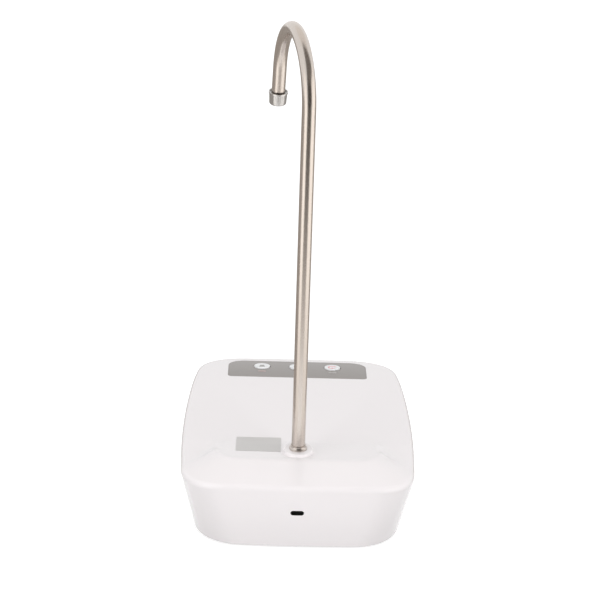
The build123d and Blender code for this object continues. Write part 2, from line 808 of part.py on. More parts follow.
with BuildPart() as spout_tube:
    with BuildLine(spout_plane) as spout_path:
        riser = Line((0, tube_end_height), (0, spring_height))
        bend = JernArc(start=riser @ 1, tangent=riser % 1, radius=bend_radius, arc_size=-bend_angle)
        leg = Line(bend @ 1, bend @ 1 + outlet_leg * (bend % 1))
    with BuildSketch(foot_plane.offset(tube_end_height)):
        Circle(tube_radius)
        Circle(tube_radius - tube_wall, mode=Mode.SUBTRACT)
    sweep()
save(spout_tube.part, "spout_tube")
outlet_plane = Plane(origin=leg @ 1, z_dir=leg % 1)
nozzle_top_plane = outlet_plane.offset(nozzle_lip - nozzle_length)

with BuildPart() as spout_plug:
    with BuildSketch(foot_plane.offset(plug_base)):
        Circle(plug_radius)
    extrude(amount=plug_flange_top - plug_base)
    with BuildSketch(foot_plane.offset(plug_flange_base)):
        Circle(plug_flange_radius)
    extrude(amount=plug_flange_top - plug_flange_base)
    for seal_height in seal_heights:
        with BuildSketch(foot_plane.offset(seal_height)):
            Circle(plug_radius)
            Circle(groove_radius, mode=Mode.SUBTRACT)
        extrude(amount=groove_width / 2, both=True, mode=Mode.SUBTRACT)
    with BuildSketch(foot_plane.offset(plug_base)):
        Circle(plug_bore_radius)
    extrude(amount=tube_end_height - plug_base, mode=Mode.SUBTRACT)
    with BuildSketch(foot_plane.offset(tube_end_height)):
        Circle(tube_radius + press_gap)
    extrude(amount=plug_flange_top - tube_end_height, mode=Mode.SUBTRACT)
save(spout_plug.part, "spout_plug")

with BuildPart() as spout_seals:
    for seal_height in seal_heights:
        with Locations((0, foot_y, seal_height)):
            Torus((seal_outer + groove_radius) / 2, (seal_outer - groove_radius) / 2)
save(spout_seals.part, "spout_seals")

with BuildPart() as spout_socket:
    with BuildSketch(foot_plane.offset(cover_top)):
        Circle(socket_foot_radius)
    extrude(amount=socket_step_height - cover_top)
    with BuildSketch(foot_plane.offset(socket_step_height)):
        Circle(socket_radius)
    extrude(amount=socket_top - socket_step_height)
    with BuildSketch(Plane.YZ):
        with Locations((foot_y, outlet_port_height)):
            Circle(pump_port_radius)
    extrude(amount=socket_radius + pump_port_length)
    with BuildSketch(Plane.YZ):
        with Locations((foot_y, outlet_port_height)):
            Circle(pump_port_bore)
    extrude(amount=socket_radius + pump_port_length, mode=Mode.SUBTRACT)
    with BuildSketch(foot_plane.offset(chamber_base)):
        Circle(chamber_radius)
    extrude(amount=plug_base - fit_gap - chamber_base, mode=Mode.SUBTRACT)
    with BuildSketch(foot_plane.offset(plug_base - fit_gap)):
        Circle(plug_radius + tube_running_gap)
    extrude(amount=socket_top - plug_base + fit_gap, mode=Mode.SUBTRACT)
    with BuildSketch(foot_plane.offset(plug_flange_base - fit_gap)):
        Circle(plug_flange_radius + tube_running_gap)
    extrude(amount=socket_top - plug_flange_base + fit_gap, mode=Mode.SUBTRACT)
save(spout_socket.part, "spout_socket")

with BuildPart() as nozzle_collar:
    with BuildSketch(nozzle_top_plane):
        Circle(nozzle_radius)
    extrude(amount=nozzle_length, taper=nozzle_taper)
    nozzle_edges = nozzle_collar.edges().sort_by(Axis(outlet_plane.origin, outlet_plane.z_dir))
    fillet(nozzle_edges[-1], nozzle_bottom_radius)
    # Flutes all round, below the rim
    with BuildSketch(nozzle_top_plane.offset(nozzle_rim_height)):
        with PolarLocations(nozzle_radius, nozzle_ribs):
            Rectangle(2 * rib_depth, rib_width)
    extrude(amount=nozzle_length - nozzle_rim_height - nozzle_bottom_radius, mode=Mode.SUBTRACT)
    with BuildSketch(nozzle_top_plane):
        Circle(nozzle_rim_radius)
    extrude(amount=nozzle_rim_height)
    # Seat for the end of the spout, strainer seat and water way
    with BuildSketch(nozzle_top_plane):
        Circle(tube_radius + press_gap)
    extrude(amount=nozzle_length - nozzle_lip, mode=Mode.SUBTRACT)
    with BuildSketch(outlet_plane):
        Circle(tube_radius - tube_wall)
    extrude(amount=nozzle_lip, mode=Mode.SUBTRACT)
    # Cup round the pipe inside the rim, and the small holes in its floor
    with BuildSketch(nozzle_top_plane):
        Circle(nozzle_rim_radius - nozzle_rim_wall)
    extrude(amount=nozzle_cup_depth, mode=Mode.SUBTRACT)
    with BuildSketch(nozzle_top_plane.offset(nozzle_cup_depth)):
        with PolarLocations((tube_radius + nozzle_rim_radius - nozzle_rim_wall) / 2, notch_count):
            Circle(notch_radius)
    extrude(amount=notch_depth, mode=Mode.SUBTRACT)
save(nozzle_collar.part, "nozzle_collar")

with BuildPart() as nozzle_strainer:
    with BuildSketch(outlet_plane.offset(nozzle_lip - strainer_thickness)):
        Circle(tube_radius - tube_wall - fit_gap / 2)
        with HexLocations(strainer_pitch, strainer_rows, strainer_rows):
            Circle(strainer_hole_radius, mode=Mode.SUBTRACT)
    extrude(amount=strainer_thickness - nozzle_bottom_radius / 2)
save(nozzle_strainer.part, "nozzle_strainer")

# Motor
with BuildPart() as motor_can:
    with BuildSketch(pump_plane.offset(motor_rear_x)):
        Circle(motor_radius)
    extrude(amount=motor_length)
    with BuildSketch(pump_plane.offset(motor_front_x)):
        Circle(motor_boss_radius)
    extrude(amount=motor_boss_length)
    with BuildSketch(pump_plane.offset(motor_rear_x)):
        Circle(motor_radius - motor_can_wall)
    extrude(amount=motor_length - motor_can_wall, mode=Mode.SUBTRACT)
    with BuildSketch(pump_plane.offset(motor_rear_x)):
        Circle(shaft_radius + shaft_gap)
    extrude(amount=motor_length + motor_boss_length, mode=Mode.SUBTRACT)
save(motor_can.part, "motor_can")

with BuildPart() as motor_end_cap:
    with BuildSketch(pump_plane.offset(motor_rear_x)):
        Circle(motor_radius - motor_can_wall - press_gap)
    extrude(amount=end_cap_thickness)
    with BuildSketch(pump_plane.offset(motor_rear_x)):
        Circle(motor_boss_radius)
        with GridLocations(2 * (motor_radius - 2 * terminal_width), 0, 2, 1):
            Rectangle(terminal_thickness, terminal_width)
    extrude(amount=-motor_boss_length)
    with BuildSketch(pump_plane.offset(motor_rear_x - motor_boss_length)):
        Circle(shaft_radius + shaft_gap)
    extrude(amount=motor_boss_length + end_cap_thickness, mode=Mode.SUBTRACT)
save(motor_end_cap.part, "motor_end_cap")

with BuildPart() as motor_magnets:
    with BuildSketch(pump_plane.offset(rotor_middle_x)):
        Circle(motor_radius - motor_can_wall - press_gap)
        Circle(rotor_radius + magnet_gap, mode=Mode.SUBTRACT)
        Rectangle(magnet_split, 2 * motor_radius, mode=Mode.SUBTRACT)
    extrude(amount=magnet_length / 2, both=True)
save(motor_magnets.part, "motor_magnets")

with BuildPart() as motor_rotor:
    with BuildSketch(pump_plane.offset(rotor_middle_x)):
        Circle(rotor_radius)
        Circle(shaft_radius + press_gap, mode=Mode.SUBTRACT)
        with PolarLocations(rotor_radius - rotor_slot_depth / 2, rotor_slots):
            Rectangle(rotor_slot_depth, rotor_slot_width, mode=Mode.SUBTRACT)
    extrude(amount=rotor_length / 2, both=True)
save(motor_rotor.part, "motor_rotor")

with BuildPart() as motor_shaft:
    with BuildSketch(pump_plane.offset(motor_rear_x - motor_boss_length)):
        Circle(shaft_radius)
    extrude(amount=shaft_front_x - motor_rear_x + motor_boss_length)
save(motor_shaft.part, "motor_shaft")

# Pump head
with BuildPart() as pump_crankcase:
    with BuildSketch(pump_plane.offset(motor_front_x)):
        Circle(pump_radius)
    extrude(amount=crankcase_length)
    with BuildSketch(pump_plane.offset(motor_front_x + crankcase_floor)):
        Circle(pump_radius - crankcase_wall)
    extrude(amount=crankcase_length - crankcase_floor, mode=Mode.SUBTRACT)
    with BuildSketch(pump_plane.offset(motor_front_x)):
        Circle(motor_boss_radius + thread_gap)
    extrude(amount=crankcase_floor, mode=Mode.SUBTRACT)
    with BuildSketch(pump_plane.offset(diaphragm_x)):
        with PolarLocations(pump_screw_ring_radius, pump_screw_count, start_angle=pump_screw_turn):
            Circle(pump_screw_radius + thread_gap)
    extrude(amount=-pump_screw_length, mode=Mode.SUBTRACT)
save(pump_crankcase.part, "pump_crankcase")

with BuildPart() as pump_eccentric:
    with BuildSketch(pump_plane.offset(shaft_front_x)):
        Circle(eccentric_radius)
        Circle(shaft_radius + press_gap, mode=Mode.SUBTRACT)
    extrude(amount=-eccentric_length)
    with BuildSketch(pump_plane.offset(shaft_front_x)):
        with Locations((0, eccentric_offset)):
            Circle(crank_pin_radius)
    extrude(amount=crank_pin_length)
save(pump_eccentric.part, "pump_eccentric")

with BuildPart() as pump_wobble_plate:
    with BuildSketch(pump_plane.offset(wobble_x)):
        Circle(wobble_ring_radius + wobble_ring_wall)
        with PolarLocations(wobble_radius / 2, cup_count, start_angle=cup_turn):
            Rectangle(wobble_radius, wobble_arm_width)
    extrude(amount=wobble_thickness)
    with BuildSketch(pump_plane.offset(wobble_x)):
        Circle(wobble_ring_radius + wobble_ring_wall)
        Circle(wobble_ring_radius, mode=Mode.SUBTRACT)
    extrude(amount=-wobble_ring_length)
save(pump_wobble_plate.part, "pump_wobble_plate")

with BuildPart() as pump_diaphragm:
    with BuildSketch(pump_plane.offset(diaphragm_x)):
        Circle(pump_radius)
        with PolarLocations(pump_screw_ring_radius, pump_screw_count, start_angle=pump_screw_turn):
            Circle(pump_screw_radius + screw_clearance, mode=Mode.SUBTRACT)
    extrude(amount=diaphragm_thickness)
    with BuildSketch(pump_plane.offset(diaphragm_x)):
        with PolarLocations(cup_ring_radius, cup_count, start_angle=cup_turn):
            Circle(cup_radius)
    extrude(amount=wobble_x + wobble_thickness - diaphragm_x)
save(pump_diaphragm.part, "pump_diaphragm")

with BuildPart() as pump_valve_plate:
    with BuildSketch(pump_plane.offset(diaphragm_x + diaphragm_thickness)):
        Circle(pump_radius)
        with PolarLocations(pump_screw_ring_radius, pump_screw_count, start_angle=pump_screw_turn):
            Circle(pump_screw_radius + screw_clearance, mode=Mode.SUBTRACT)
        with PolarLocations(cup_ring_radius, 2 * cup_count):
            Circle(valve_hole_radius, mode=Mode.SUBTRACT)
    extrude(amount=valve_plate_thickness)
save(pump_valve_plate.part, "pump_valve_plate")

with BuildPart() as pump_cover:
    with BuildSketch(pump_plane.offset(pump_cover_x)):
        Circle(pump_radius)
    extrude(amount=pump_cover_thickness)
    chamfer(pump_cover.edges().sort_by(Axis.X)[-1], pump_cover_thickness / 4)
    with BuildSketch(pump_plane.offset(pump_cover_x + pump_cover_thickness)):
        with Locations(*pump_port_places):
            Circle(pump_port_radius)
    extrude(amount=pump_port_length)
    with BuildSketch(pump_plane.offset(pump_cover_x)):
        with Locations(*pump_port_places):
            Circle(pump_port_bore)
    extrude(amount=pump_cover_thickness + pump_port_length, mode=Mode.SUBTRACT)
    with BuildSketch(pump_plane.offset(pump_cover_x)):
        with PolarLocations(pump_screw_ring_radius, pump_screw_count, start_angle=pump_screw_turn):
            Circle(pump_screw_radius + screw_clearance)
    extrude(amount=pump_cover_thickness, mode=Mode.SUBTRACT)
    with BuildSketch(pump_plane.offset(pump_cover_x + pump_cover_thickness - pump_screw_head_height)):
        with PolarLocations(pump_screw_ring_radius, pump_screw_count, start_angle=pump_screw_turn):
            Circle(pump_screw_head_radius + screw_clearance)
    extrude(amount=pump_screw_head_height, mode=Mode.SUBTRACT)
save(pump_cover.part, "pump_cover")

with BuildPart() as pump_screws:
    with BuildSketch(pump_plane.offset(pump_cover_x + pump_cover_thickness - pump_screw_head_height)):
        with PolarLocations(pump_screw_ring_radius, pump_screw_count, start_angle=pump_screw_turn):
            Circle(pump_screw_head_radius)
    extrude(amount=pump_screw_head_height)
    with BuildSketch(pump_plane.offset(pump_cover_x + pump_cover_thickness - pump_screw_head_height)):
        with PolarLocations(pump_screw_ring_radius, pump_screw_count, start_angle=pump_screw_turn):
            Circle(pump_screw_radius)
    extrude(amount=-pump_screw_length)
save(pump_screws.part, "pump_screws")

# Water way: inlet fitting and the two inner hoses
with BuildPart() as inlet_fitting:
    with BuildSketch(inlet_plane.offset(pocket_inner_x - pocket_wall)):
        Circle(fitting_flange_radius)
    extrude(amount=-fitting_flange_thickness)
    with BuildSketch(inlet_plane.offset(pocket_inner_x - pocket_wall)):
        Circle(fitting_outer_radius)
    extrude(amount=pocket_wall + fitting_outer_length)
    for barb in range(barb_count):
        barb_base = pocket_inner_x + fitting_outer_length - (barb + 1) * barb_pitch
        with BuildSketch(inlet_plane.offset(barb_base)):
            Circle(fitting_outer_radius + barb_height)
        extrude(amount=barb_pitch, taper=barb_taper)
    with BuildSketch(inlet_plane.offset(fitting_inner_x)):
        Circle(pump_port_radius)
    extrude(amount=-fitting_inner_length)
    with BuildSketch(inlet_plane.offset(fitting_inner_x - fitting_inner_length)):
        Circle(pump_port_bore)
    extrude(amount=body_width / 2, mode=Mode.SUBTRACT)
save(inlet_fitting.part, "inlet_fitting")

with BuildPart() as inlet_hose:
    with BuildSketch(inlet_plane.offset(port_tip_x - hose_overlap)):
        Circle(pump_port_radius + hose_fit + hose_wall)
        Circle(pump_port_radius + hose_fit, mode=Mode.SUBTRACT)
    extrude(amount=fitting_inner_x - fitting_inner_length - port_tip_x + 2 * hose_overlap)
save(inlet_hose.part, "inlet_hose")

with BuildPart() as outlet_hose:
    with BuildLine(Plane.XY.offset(outlet_port_height)):
        FilletPolyline((port_tip_x - hose_overlap, outlet_port_y), (hose_run_x, outlet_port_y),
                       (hose_run_x, foot_y), (socket_radius + pump_port_length - hose_overlap, foot_y),
                       radius=hose_bend_radius)
    with BuildSketch(Plane(origin=(port_tip_x - hose_overlap, outlet_port_y, outlet_port_height),
                           z_dir=(1, 0, 0))):
        Circle(pump_port_radius + hose_fit + hose_wall)
        Circle(pump_port_radius + hose_fit, mode=Mode.SUBTRACT)
    sweep()
save(outlet_hose.part, "outlet_hose")

# Battery, straps and main board
with BuildPart() as battery_cell:
    with BuildSketch(battery_plane.offset(-battery_length / 2)):
        Circle(battery_radius)
    extrude(amount=battery_length)
    fillet(battery_cell.edges().filter_by(GeomType.CIRCLE), battery_edge)
    with BuildSketch(battery_plane.offset(battery_length / 2)):
        Circle(battery_cap_radius)
    extrude(amount=battery_cap_length)
save(battery_cell.part, "battery_cell")

save(strap(motor_strap_x, pump_y, pump_height, motor_radius), "motor_strap")
save(strap(battery_x, battery_y, battery_height, battery_radius), "battery_strap")

with BuildPart() as strap_screws:
    for post_places, seat_height in strap_seats:
        with BuildSketch(Plane.XY.offset(seat_height + strap_thickness)):
            with Locations(*post_places):
                Circle(strap_screw_head_radius)
        extrude(amount=strap_screw_head_height)
        with BuildSketch(Plane.XY.offset(seat_height + strap_thickness)):
            with Locations(*post_places):
                Circle(strap_screw_radius)
        extrude(amount=-strap_screw_length)
save(strap_screws.part, "strap_screws")

with BuildPart() as main_board:
    with BuildSketch(Plane.XY.offset(board_height)):
        with Locations((0, board_middle_y)):
            Rectangle(board_width, board_length)
        with Locations(*board_post_places):
            Circle(pilot_radius + screw_clearance, mode=Mode.SUBTRACT)
    extrude(amount=board_thickness)
    with BuildSketch(Plane.XY.offset(board_height + board_thickness)):
        with Locations((board_chip, board_chip_y), (-board_chip, board_chip_y)):
            Rectangle(board_chip, board_chip)
    extrude(amount=board_chip_height)
save(main_board.part, "main_board")

with BuildPart() as main_board_screws:
    with BuildSketch(Plane.XY.offset(board_height + board_thickness)):
        with Locations(*board_post_places):
            Circle(2 * pilot_radius)
    extrude(amount=pilot_radius)
    with BuildSketch(Plane.XY.offset(board_height + board_thickness)):
        with Locations(*board_post_places):
            Circle(pilot_radius)
    extrude(amount=thread_gap - board_thickness - pilot_depth)
save(main_board_screws.part, "main_board_screws")

with BuildPart() as usb_socket:
    with BuildSketch(usb_plane):
        Rectangle(usb_width, usb_height)
    extrude(amount=usb_depth)
    with BuildSketch(usb_plane):
        Rectangle(usb_width - 2 * usb_wall, usb_height - 2 * usb_wall)
    extrude(amount=usb_depth - usb_wall, mode=Mode.SUBTRACT)
    with BuildSketch(usb_plane.offset(usb_depth)):
        Rectangle(usb_width - 4 * usb_tongue, usb_tongue)
    extrude(amount=usb_tongue - usb_depth)
save(usb_socket.part, "usb_socket")
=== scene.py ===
"""Looks for the desktop bottled water pump: gooseneck pipe, outlet, keys, label, finishes and studio."""

from math import atan2, cos, pi, radians, sin, tau

import bpy
import bmesh
from mathutils import Matrix, Vector


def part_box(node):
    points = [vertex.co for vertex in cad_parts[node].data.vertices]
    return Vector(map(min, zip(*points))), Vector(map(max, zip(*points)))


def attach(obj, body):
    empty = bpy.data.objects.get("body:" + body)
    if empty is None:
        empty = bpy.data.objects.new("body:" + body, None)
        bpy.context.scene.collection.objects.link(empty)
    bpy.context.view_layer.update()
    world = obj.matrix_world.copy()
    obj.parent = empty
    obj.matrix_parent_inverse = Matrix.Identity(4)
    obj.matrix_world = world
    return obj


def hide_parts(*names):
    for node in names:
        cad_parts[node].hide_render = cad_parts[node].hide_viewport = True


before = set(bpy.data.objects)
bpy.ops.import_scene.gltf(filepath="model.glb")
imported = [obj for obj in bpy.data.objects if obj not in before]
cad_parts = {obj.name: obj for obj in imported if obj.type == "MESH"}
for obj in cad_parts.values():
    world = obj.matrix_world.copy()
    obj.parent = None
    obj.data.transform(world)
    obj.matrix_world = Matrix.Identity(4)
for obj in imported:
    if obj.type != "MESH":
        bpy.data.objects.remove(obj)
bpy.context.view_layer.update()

bl_info = {
    "name": "Bottled water pump",
    "version": (1, 0, 0),
    "blender": (4, 5, 0),
    "location": "View3D > Sidebar > Water Pump",
    "description": "Builds the visible pieces and finishes of a desktop bottled water pump",
    "category": "Add Mesh",
}

MM = 0.001
MICRON = 0.000001

WHITE = (1.0, 1.0, 1.0, 1.0)
# Black for the charging slot: painted shade for the sleeve and the socket's mouth, and the black of the socket's
# tongue.
SLOT_SHADE_BLACK = (0.012, 0.011, 0.011, 1.0)


# Shader maths

class Signal:
    """A value on its way through a material's nodes; arithmetic on it adds Math nodes."""

    def __init__(self, paint, socket):
        self.paint = paint
        self.socket = socket

    def math(self, operation, *values):
        return self.paint.node("ShaderNodeMath", {"operation": operation}, dict(enumerate(values)))

    def __add__(self, other):
        return self.math("ADD", self, other)

    __radd__ = __add__

    def __sub__(self, other):
        return self.math("SUBTRACT", self, other)

    def __rsub__(self, other):
        return self.math("SUBTRACT", other, self)

    def __mul__(self, other):
        return self.math("MULTIPLY", self, other)

    __rmul__ = __mul__

    def absolute(self):
        return self.math("ABSOLUTE", self)

    def sine(self):
        return self.math("SINE", self)

    def between(self, low, high):
        """0 at and below low, 1 at and above high, and a smooth step in the middle."""
        return self.paint.node("ShaderNodeMapRange", {"interpolation_type": "SMOOTHSTEP"},
                               {"Value": self, "From Min": low, "From Max": high})

    def part(self, axis):
        """One component of a vector."""
        return self.paint.node("ShaderNodeSeparateXYZ", {}, {0: self}, axis)


class Paint:
    """One material, or the world, built from expressions and from one call for every other node."""

    def __init__(self, name, world=False):
        self.material = bpy.data.worlds.new(name) if world else bpy.data.materials.new(name)
        self.material.use_nodes = True
        self.tree = self.material.node_tree
        self.tree.nodes.clear()
        self.last_node = "ShaderNodeOutputWorld" if world else "ShaderNodeOutputMaterial"

    def node(self, kind, settings=None, sockets=None, output=0):
        """Adds a node: its settings first, then the values or links of its sockets."""
        node = self.tree.nodes.new(kind)
        for key, value in (settings or {}).items():
            setattr(node, key, value)
        for key, value in (sockets or {}).items():
            self.feed(node.inputs[key], value)
        return Signal(self, node.outputs[output])

    def feed(self, socket, value):
        if isinstance(value, Signal):
            self.tree.links.new(value.socket, socket)
        else:
            socket.default_value = value

    def place(self):
        """Place on the piece, in metres."""
        return self.node("ShaderNodeTexCoord", output="Object")

    def stretched(self, vector, scale):
        return self.node("ShaderNodeMapping", {}, {"Vector": vector, "Scale": scale})

    def noise(self, scale, detail=3.0, roughness=0.5, stretch=(1, 1, 1), vector=None):
        vector = self.stretched(vector or self.place(), stretch)
        return self.node("ShaderNodeTexNoise", {}, {"Vector": vector, "Scale": scale, "Detail": detail,
                                                    "Roughness": roughness}, "Fac")

    def cells(self, scale, vector=None):
        return self.node("ShaderNodeTexVoronoi", {}, {"Vector": vector or self.place(), "Scale": scale},
                         "Distance")

    def blend(self, amount, first, second):
        """From the first colour to the second as the amount goes from 0 to 1."""
        node = self.tree.nodes.new("ShaderNodeMix")
        node.data_type = "RGBA"
        self.feed(node.inputs["Factor"], amount)
        self.feed(node.inputs[6], first)
        self.feed(node.inputs[7], second)
        return Signal(self, node.outputs[2])

    def finish(self, colour, roughness, metallic=0.0, height=None, depth=0.0, **constants):
        """The surface itself. The height is in units of the depth, in metres."""
        sockets = {"Base Color": colour, "Roughness": roughness, "Metallic": metallic}
        sockets.update({key.replace("_", " ").title(): value for key, value in constants.items()})
        if height is not None:
            sockets["Normal"] = self.node("ShaderNodeBump", {}, {"Height": height, "Distance": depth,
                                                                 "Strength": 1.0}, "Normal")
        surface = self.node("ShaderNodeBsdfPrincipled", {}, sockets)
        self.close(surface)
        return self.material

    def close(self, surface):
        output = self.tree.nodes.new(self.last_node)
        self.tree.links.new(surface.socket, output.inputs["Surface"])


def shade(colour, factor):
    """The same colour, darker or lighter and opaque."""
    return (*[min(1.0, c * factor) for c in colour[:3]], 1.0)


def moulded(name, colour, roughness, coat=0.0):
    """Moulded plastic: a little unevenness of tone, a fine skin and a soft gloss."""
    paint = Paint(name)
    tone = paint.noise(28.0, 2.0)
    skin = paint.noise(900.0, 2.0)
    wear = paint.noise(160.0, 3.0, 0.6)
    tint = paint.blend(tone, shade(colour, 0.97), shade(colour, 1.03))
    return paint.finish(tint, roughness + (wear - 0.5) * 0.12 * roughness, height=skin, depth=20 * MICRON,
                        coat_weight=coat)


def turned_steel(name, colour, roughness):
    """Plain machined or plated steel with faint mottling."""
    paint = Paint(name)
    tone = paint.noise(240.0, 3.0)
    fine = paint.noise(2600.0, 2.0)
    return paint.finish(paint.blend(tone, shade(colour, 0.9), shade(colour, 1.06)),
                        roughness + (fine - 0.5) * 0.3 * roughness, 1.0, height=fine, depth=4 * MICRON)


def brushed_pipe(name, colour, roughness):
    """Stainless pipe brushed along its length, on the pipe's own map: round it and along it."""
    paint = Paint(name)
    wrap = paint.node("ShaderNodeTexCoord", output="UV")
    hairs = paint.noise(1.0, 3.0, 0.7, (260.0, 9.0, 1.0), wrap)
    long_hairs = paint.noise(1.0, 2.0, 0.6, (90.0, 2.5, 1.0), wrap)
    tint = paint.blend(long_hairs, shade(colour, 0.88), shade(colour, 1.08))
    rough = roughness + (hairs - 0.5) * 0.16 + (long_hairs - 0.5) * 0.08
    return paint.finish(tint, rough, 1.0, height=hairs + long_hairs, depth=12 * MICRON)


def shell_gloss(name, colour):
    """White glossy housing: faint flow tone, very slight waviness, fine wiping marks, dust at the base and
    painted shade low down.
    """
    paint = Paint(name)
    flow = paint.noise(14.0, 2.0, 0.5, (1.0, 0.6, 1.6))
    waves = paint.noise(70.0, 1.5, 0.4)
    wiped = paint.noise(120.0, 4.0, 0.65, (1.0, 0.18, 1.0))
    tint = paint.blend(flow, shade(colour, 0.985), shade(colour, 1.012))
    height = paint.place().part("Z")
    # Painted shade: the white darkens over the lowest 34 mm, most at the bottom.
    painted_low_shade = height.between(34 * MM, 0.0)
    dust = height.between(6 * MM, 1 * MM) * paint.noise(300.0, 3.0).between(0.35, 0.8)
    # The tone goes towards a darker white with the painted shade and, near the base, with the dust.
    tint = paint.blend(painted_low_shade * 0.5 + dust * 0.2, tint, shade(colour, 0.86))
    return paint.finish(tint, 0.17 + (wiped - 0.5) * 0.10 + dust * 0.2, height=waves, depth=80 * MICRON,
                        coat_weight=0.35, coat_roughness=0.06)


def grained_cover(name, colour):
    """Underside moulding with a spark-eroded grain."""
    paint = Paint(name)
    pits = paint.cells(1500.0)
    tone = paint.noise(30.0, 2.0)
    return paint.finish(paint.blend(tone, shade(colour, 0.96), shade(colour, 1.02)),
                        0.55 + (paint.noise(500.0) - 0.5) * 0.15, height=pits, depth=30 * MICRON)


def panel_film(name, colour):
    """Smooth printed film over the keys, with a faint pearl fleck."""
    paint = Paint(name)
    fleck = paint.noise(2200.0, 2.0, 0.7)
    tone = paint.noise(18.0, 2.0)
    tint = paint.blend(fleck * 0.6 + tone * 0.4, shade(colour, 0.93), shade(colour, 1.07))
    return paint.finish(tint, 0.24 + (fleck - 0.5) * 0.08, height=fleck, depth=6 * MICRON,
                        coat_weight=0.2)


def label_foil(name, colour):
    """Blank silvered label stock with a fine lengthwise grain."""
    paint = Paint(name)
    hairs = paint.noise(500.0, 3.0, 0.6, (0.25, 6.0, 1.0))
    tone = paint.noise(60.0, 2.0)
    return paint.finish(paint.blend(tone * 0.5 + hairs * 0.5, shade(colour, 0.92), shade(colour, 1.06)),
                        0.42 + (hairs - 0.5) * 0.2, 0.35, height=hairs, depth=8 * MICRON)


def board_mask(name, colour):
    """Circuit board: solder mask over faint copper runs."""
    paint = Paint(name)
    place = paint.place()
    across = (place.part("X") * 2400.0).sine()
    along = (place.part("Y") * 1900.0).sine()
    runs = (across * along).between(0.25, 0.4)
    return paint.finish(paint.blend(runs, colour, shade(colour, 1.7)), 0.35 + runs * 0.08,
                        height=runs, depth=30 * MICRON)


def rubber_skin(name, colour, roughness):
    """Rubber or silicone with a dull, dusty skin."""
    paint = Paint(name)
    bloom = paint.noise(90.0, 4.0, 0.6)
    pores = paint.noise(1800.0, 2.0)
    return paint.finish(paint.blend(bloom, shade(colour, 0.85), shade(colour, 1.25)),
                        roughness + (bloom - 0.5) * 0.2, height=pores, depth=20 * MICRON)


def socket_steel(name, colour, mouth):
    """Plated charging socket, painted black down its mouth for the shade there and its black tongue; the mouth's
    middle is given.

    The mouth is 6.8 mm wide and 1.9 mm high, with a soft edge.
    """
    paint = Paint(name)
    place = paint.place()
    across = (place.part("X") - mouth.x).absolute()
    up = (place.part("Z") - mouth.z).absolute()
    # Painted shade: inside the mouth the plating turns black and dull, for the shade down the socket and its
    # black tongue.
    inside = across.between(3.45 * MM, 3.35 * MM) * up.between(0.98 * MM, 0.9 * MM)
    plating = paint.noise(700.0, 3.0)
    steel = paint.blend(plating, shade(colour, 0.92), shade(colour, 1.05))
    return paint.finish(paint.blend(inside, steel, SLOT_SHADE_BLACK), 0.34 + (plating - 0.5) * 0.1,
                        1.0 - inside * 0.9)


def wound_rotor(name, iron, copper):
    """Laminated iron with copper turns between the poles."""
    paint = Paint(name)
    sheets = (paint.place().part("X") * 9000.0).sine().between(-0.2, 0.6)
    turns = paint.noise(300.0, 2.0, 0.5, (0.2, 1.0, 1.0)).between(0.45, 0.55)
    return paint.finish(paint.blend(turns, iron, copper), 0.45 + sheets * 0.1, 0.9, height=sheets,
                        depth=20 * MICRON)


def printed(name, colour, roughness):
    """Printing ink with a slightly uneven lay."""
    paint = Paint(name)
    lay = paint.noise(1500.0, 3.0)
    return paint.finish(paint.blend(lay, shade(colour, 0.93), shade(colour, 1.05)),
                        roughness + (lay - 0.5) * 0.1)


# Modelling helpers

def clear_selection():
    if bpy.context.object and bpy.context.object.mode != "OBJECT":
        bpy.ops.object.mode_set(mode="OBJECT")
    bpy.ops.object.select_all(action="DESELECT")


def name_piece(name):
    piece = bpy.context.object
    piece.name = name
    piece.data.name = name
    return piece


def select_only(piece):
    clear_selection()
    bpy.context.view_layer.objects.active = piece
    piece.select_set(True)


def apply_place():
    """Puts the selected piece's place, turn and size into its mesh."""
    bpy.ops.object.transform_apply(location=True, rotation=True, scale=True)


def edit(piece):
    """Opens a piece in edit mode with nothing selected."""
    select_only(piece)
    bpy.ops.object.mode_set(mode="EDIT")
    bpy.ops.mesh.select_all(action="DESELECT")


def pick(piece, test):
    """Selects the vertices that pass the test, and no others."""
    mesh = bmesh.from_edit_mesh(piece.data)
    bpy.ops.mesh.select_mode(type="VERT")
    bpy.ops.mesh.select_all(action="DESELECT")
    for vertex in mesh.verts:
        if test(vertex):
            vertex.select_set(True)
    bmesh.update_edit_mesh(piece.data)


def extrude_rim(offset):
    """Draws the selected edges out into a wall."""
    bpy.ops.mesh.extrude_edges_move(TRANSFORM_OT_translate={"value": offset})


def close_mesh(merge_distance=0.0):
    """Merges doubles nearer than the distance, turns all faces outwards and leaves edit mode."""
    bpy.ops.mesh.select_all(action="SELECT")
    if merge_distance:
        bpy.ops.mesh.remove_doubles(threshold=merge_distance)
    bpy.ops.mesh.normals_make_consistent(inside=False)
    leave_edit()


def leave_edit():
    bpy.ops.object.mode_set(mode="OBJECT")


def thicken(piece, thickness, offset):
    """Gives an open skin a wall: inwards at offset -1, outwards at 1."""
    wall = piece.modifiers.new("wall", "SOLIDIFY")
    wall.thickness = thickness
    wall.offset = offset


def round_edges(piece, width, segments):
    """Rounds the sharp edges over."""
    bevel = piece.modifiers.new("round", "BEVEL")
    bevel.width = width
    bevel.segments = segments
    bevel.limit_method = "ANGLE"


def apply_all(piece):
    """Applies every modifier on the piece, then its place."""
    select_only(piece)
    for modifier in list(piece.modifiers):
        bpy.ops.object.modifier_apply(modifier=modifier.name)
    apply_place()


def smooth(piece, angle=35.0):
    """Shades the piece smooth, but for edges sharper than the angle."""
    select_only(piece)
    bpy.ops.object.shade_smooth_by_angle(angle=radians(angle))


def carry(piece, matrix):
    """Puts a piece modelled at the origin where the matrix says, in its mesh."""
    piece.data.transform(matrix)
    piece.data.update()


def dress(piece, material, body):
    """Gives a new piece its material and the body it rides on."""
    piece.data.materials.clear()
    piece.data.materials.append(material)
    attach(piece, body)
    return piece


def repaint(material, *nodes):
    """Gives CAD nodes a better material on their own slots."""
    for node in nodes:
        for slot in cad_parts[node].material_slots:
            slot.material = material


# Sizes and colours that a user would change

